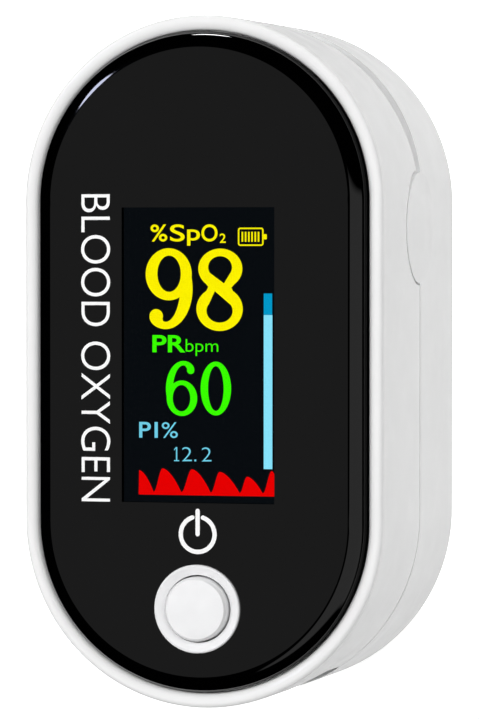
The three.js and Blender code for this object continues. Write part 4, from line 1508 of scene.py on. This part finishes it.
def lighting():
    """Panels take a direction, a distance and size in metres, and a brightness."""
    panel_light("overhead", (-0.45, 0.1, 1), 0.8, (0.6, 0.6), 4.2)
    panel_light("left_fill", (-1, 0.2, 0.5), 0.8, (0.7, 0.7), 0.6)
    panel_light("hinge_corner_fill", (0.55, 0.45, 1), 0.9, (0.7, 0.5), 3)
    panel_light("hinge_end_fill", (0.2, 1, 0.15), 0.9, (0.7, 0.5), 1.0)
    panel_light("mouth_end_fill", (0.2, -1, 0.1), 0.9, (0.7, 0.5), 0.9)
    corner, towards, along = (-12, 20, 30.8), (-0.49, 0.24, 0.84), (-0.68, 0.7, -0.2)
    glint_light("corner_glint", corner, towards, along, (0.24, 0.075), 8, (0.72, 0.76, 1))
    glint_light("end_glint", (-2, 30, 30), (-0.2, 0.95, -0.12), (1, 0.2, 0), (0.2, 0.07), 20)


def world():
    """Dark surroundings with a small patch over the face, a wide one over its right edge and a pale
    underside, which only reflections reach through the floor."""
    scene_world = bpy.data.worlds.new("studio")
    bpy.context.scene.world = scene_world
    scene_world.use_nodes = True
    tree = scene_world.node_tree
    background = tree.nodes["Background"]
    direction = add_node(tree, "TexCoord").outputs["Generated"]

    def arithmetic(operation, first, second):
        node = tree.nodes.new("ShaderNodeMath")
        node.operation = operation
        tree.links.new(first, node.inputs[0])
        tree.links.new(second, node.inputs[1])
        return node.outputs["Value"]

    def patch(towards, inner_deg, outer_deg, radiance):
        """A round patch of light in one direction, fading out between the two angles."""
        dot = tree.nodes.new("ShaderNodeVectorMath")
        dot.operation = "DOT_PRODUCT"
        dot.inputs[1].default_value = Vector(towards).normalized()
        tree.links.new(direction, dot.inputs[0])
        outer, inner = (math.cos(math.radians(d)) for d in (outer_deg, inner_deg))
        return remap(tree, dot.outputs["Value"], 0, radiance, outer, inner)

    def limit(value, low, high):
        """Keeps a patch only where the direction's y lies between two values, with soft ends."""
        y = add_node(tree, "SeparateXYZ", Vector=direction).outputs["Y"]
        for start, end in ((low - 0.06, low), (high + 0.06, high)):
            value = arithmetic("MULTIPLY", value, remap(tree, y, 0, 1, start, end))
        return value

    over_face = patch((-0.282, -0.026, 0.959), 7, 9, 0.135)
    over_right_edge = limit(patch((0.689, -0.336, 0.643), 46, 48, 0.28), -0.6, 0.05)
    underside = patch((0, 0, -1), 25, 50, 0.62)
    total = arithmetic("ADD", arithmetic("ADD", over_face, over_right_edge), underside)
    tree.links.new(total, background.inputs["Strength"])
    background.inputs["Color"].default_value = (1, 1, 1, 1)


def floor():
    half_size, drop = 3000, 0.02  # the drop keeps the floor just clear of the object's flat foot
    bm = bmesh.new()
    bmesh.ops.create_grid(bm, x_segments=8, y_segments=8, size=half_size)
    obj = finish_mesh("floor", bm)
    obj.data.materials.append(floor_material())
    moved(obj, 0, 0, -drop)
    obj.visible_glossy = False


# ---- The piece list ----------------------------------------------------------------------------


def finish_cad_nodes():
    """Materials for the CAD nodes that stay as they are."""
    finishes = {
        "cradle": INNER_WHITE,
        "board": BOARD_GREEN,
        "adhesive": GASKET,
        "display_frame": GASKET,
        "display_module": PANEL,
        "tact_switch": GASKET,
        "plunger": GASKET,
    }
    for node, obj in frame["nodes"].items():
        if obj.hide_render:
            continue
        material = next(m for word, m in finishes.items() if word in node)
        obj.data.materials.clear()
        obj.data.materials.append(material)
        edges = obj.modifiers.new("soft_edges", "BEVEL")
        edges.width = 0.05 * MM
        edges.segments = 2
        edges.angle_limit = math.radians(50)


upper_shell()
lower_shell()
battery_door()
face_lens()
face_print()
display_graphics()
button_ring()
button_cap()
inner_pieces()
finish_cad_nodes()
camera()
lighting()
world()
floor()
bpy.context.scene.view_settings.view_transform = "Standard"
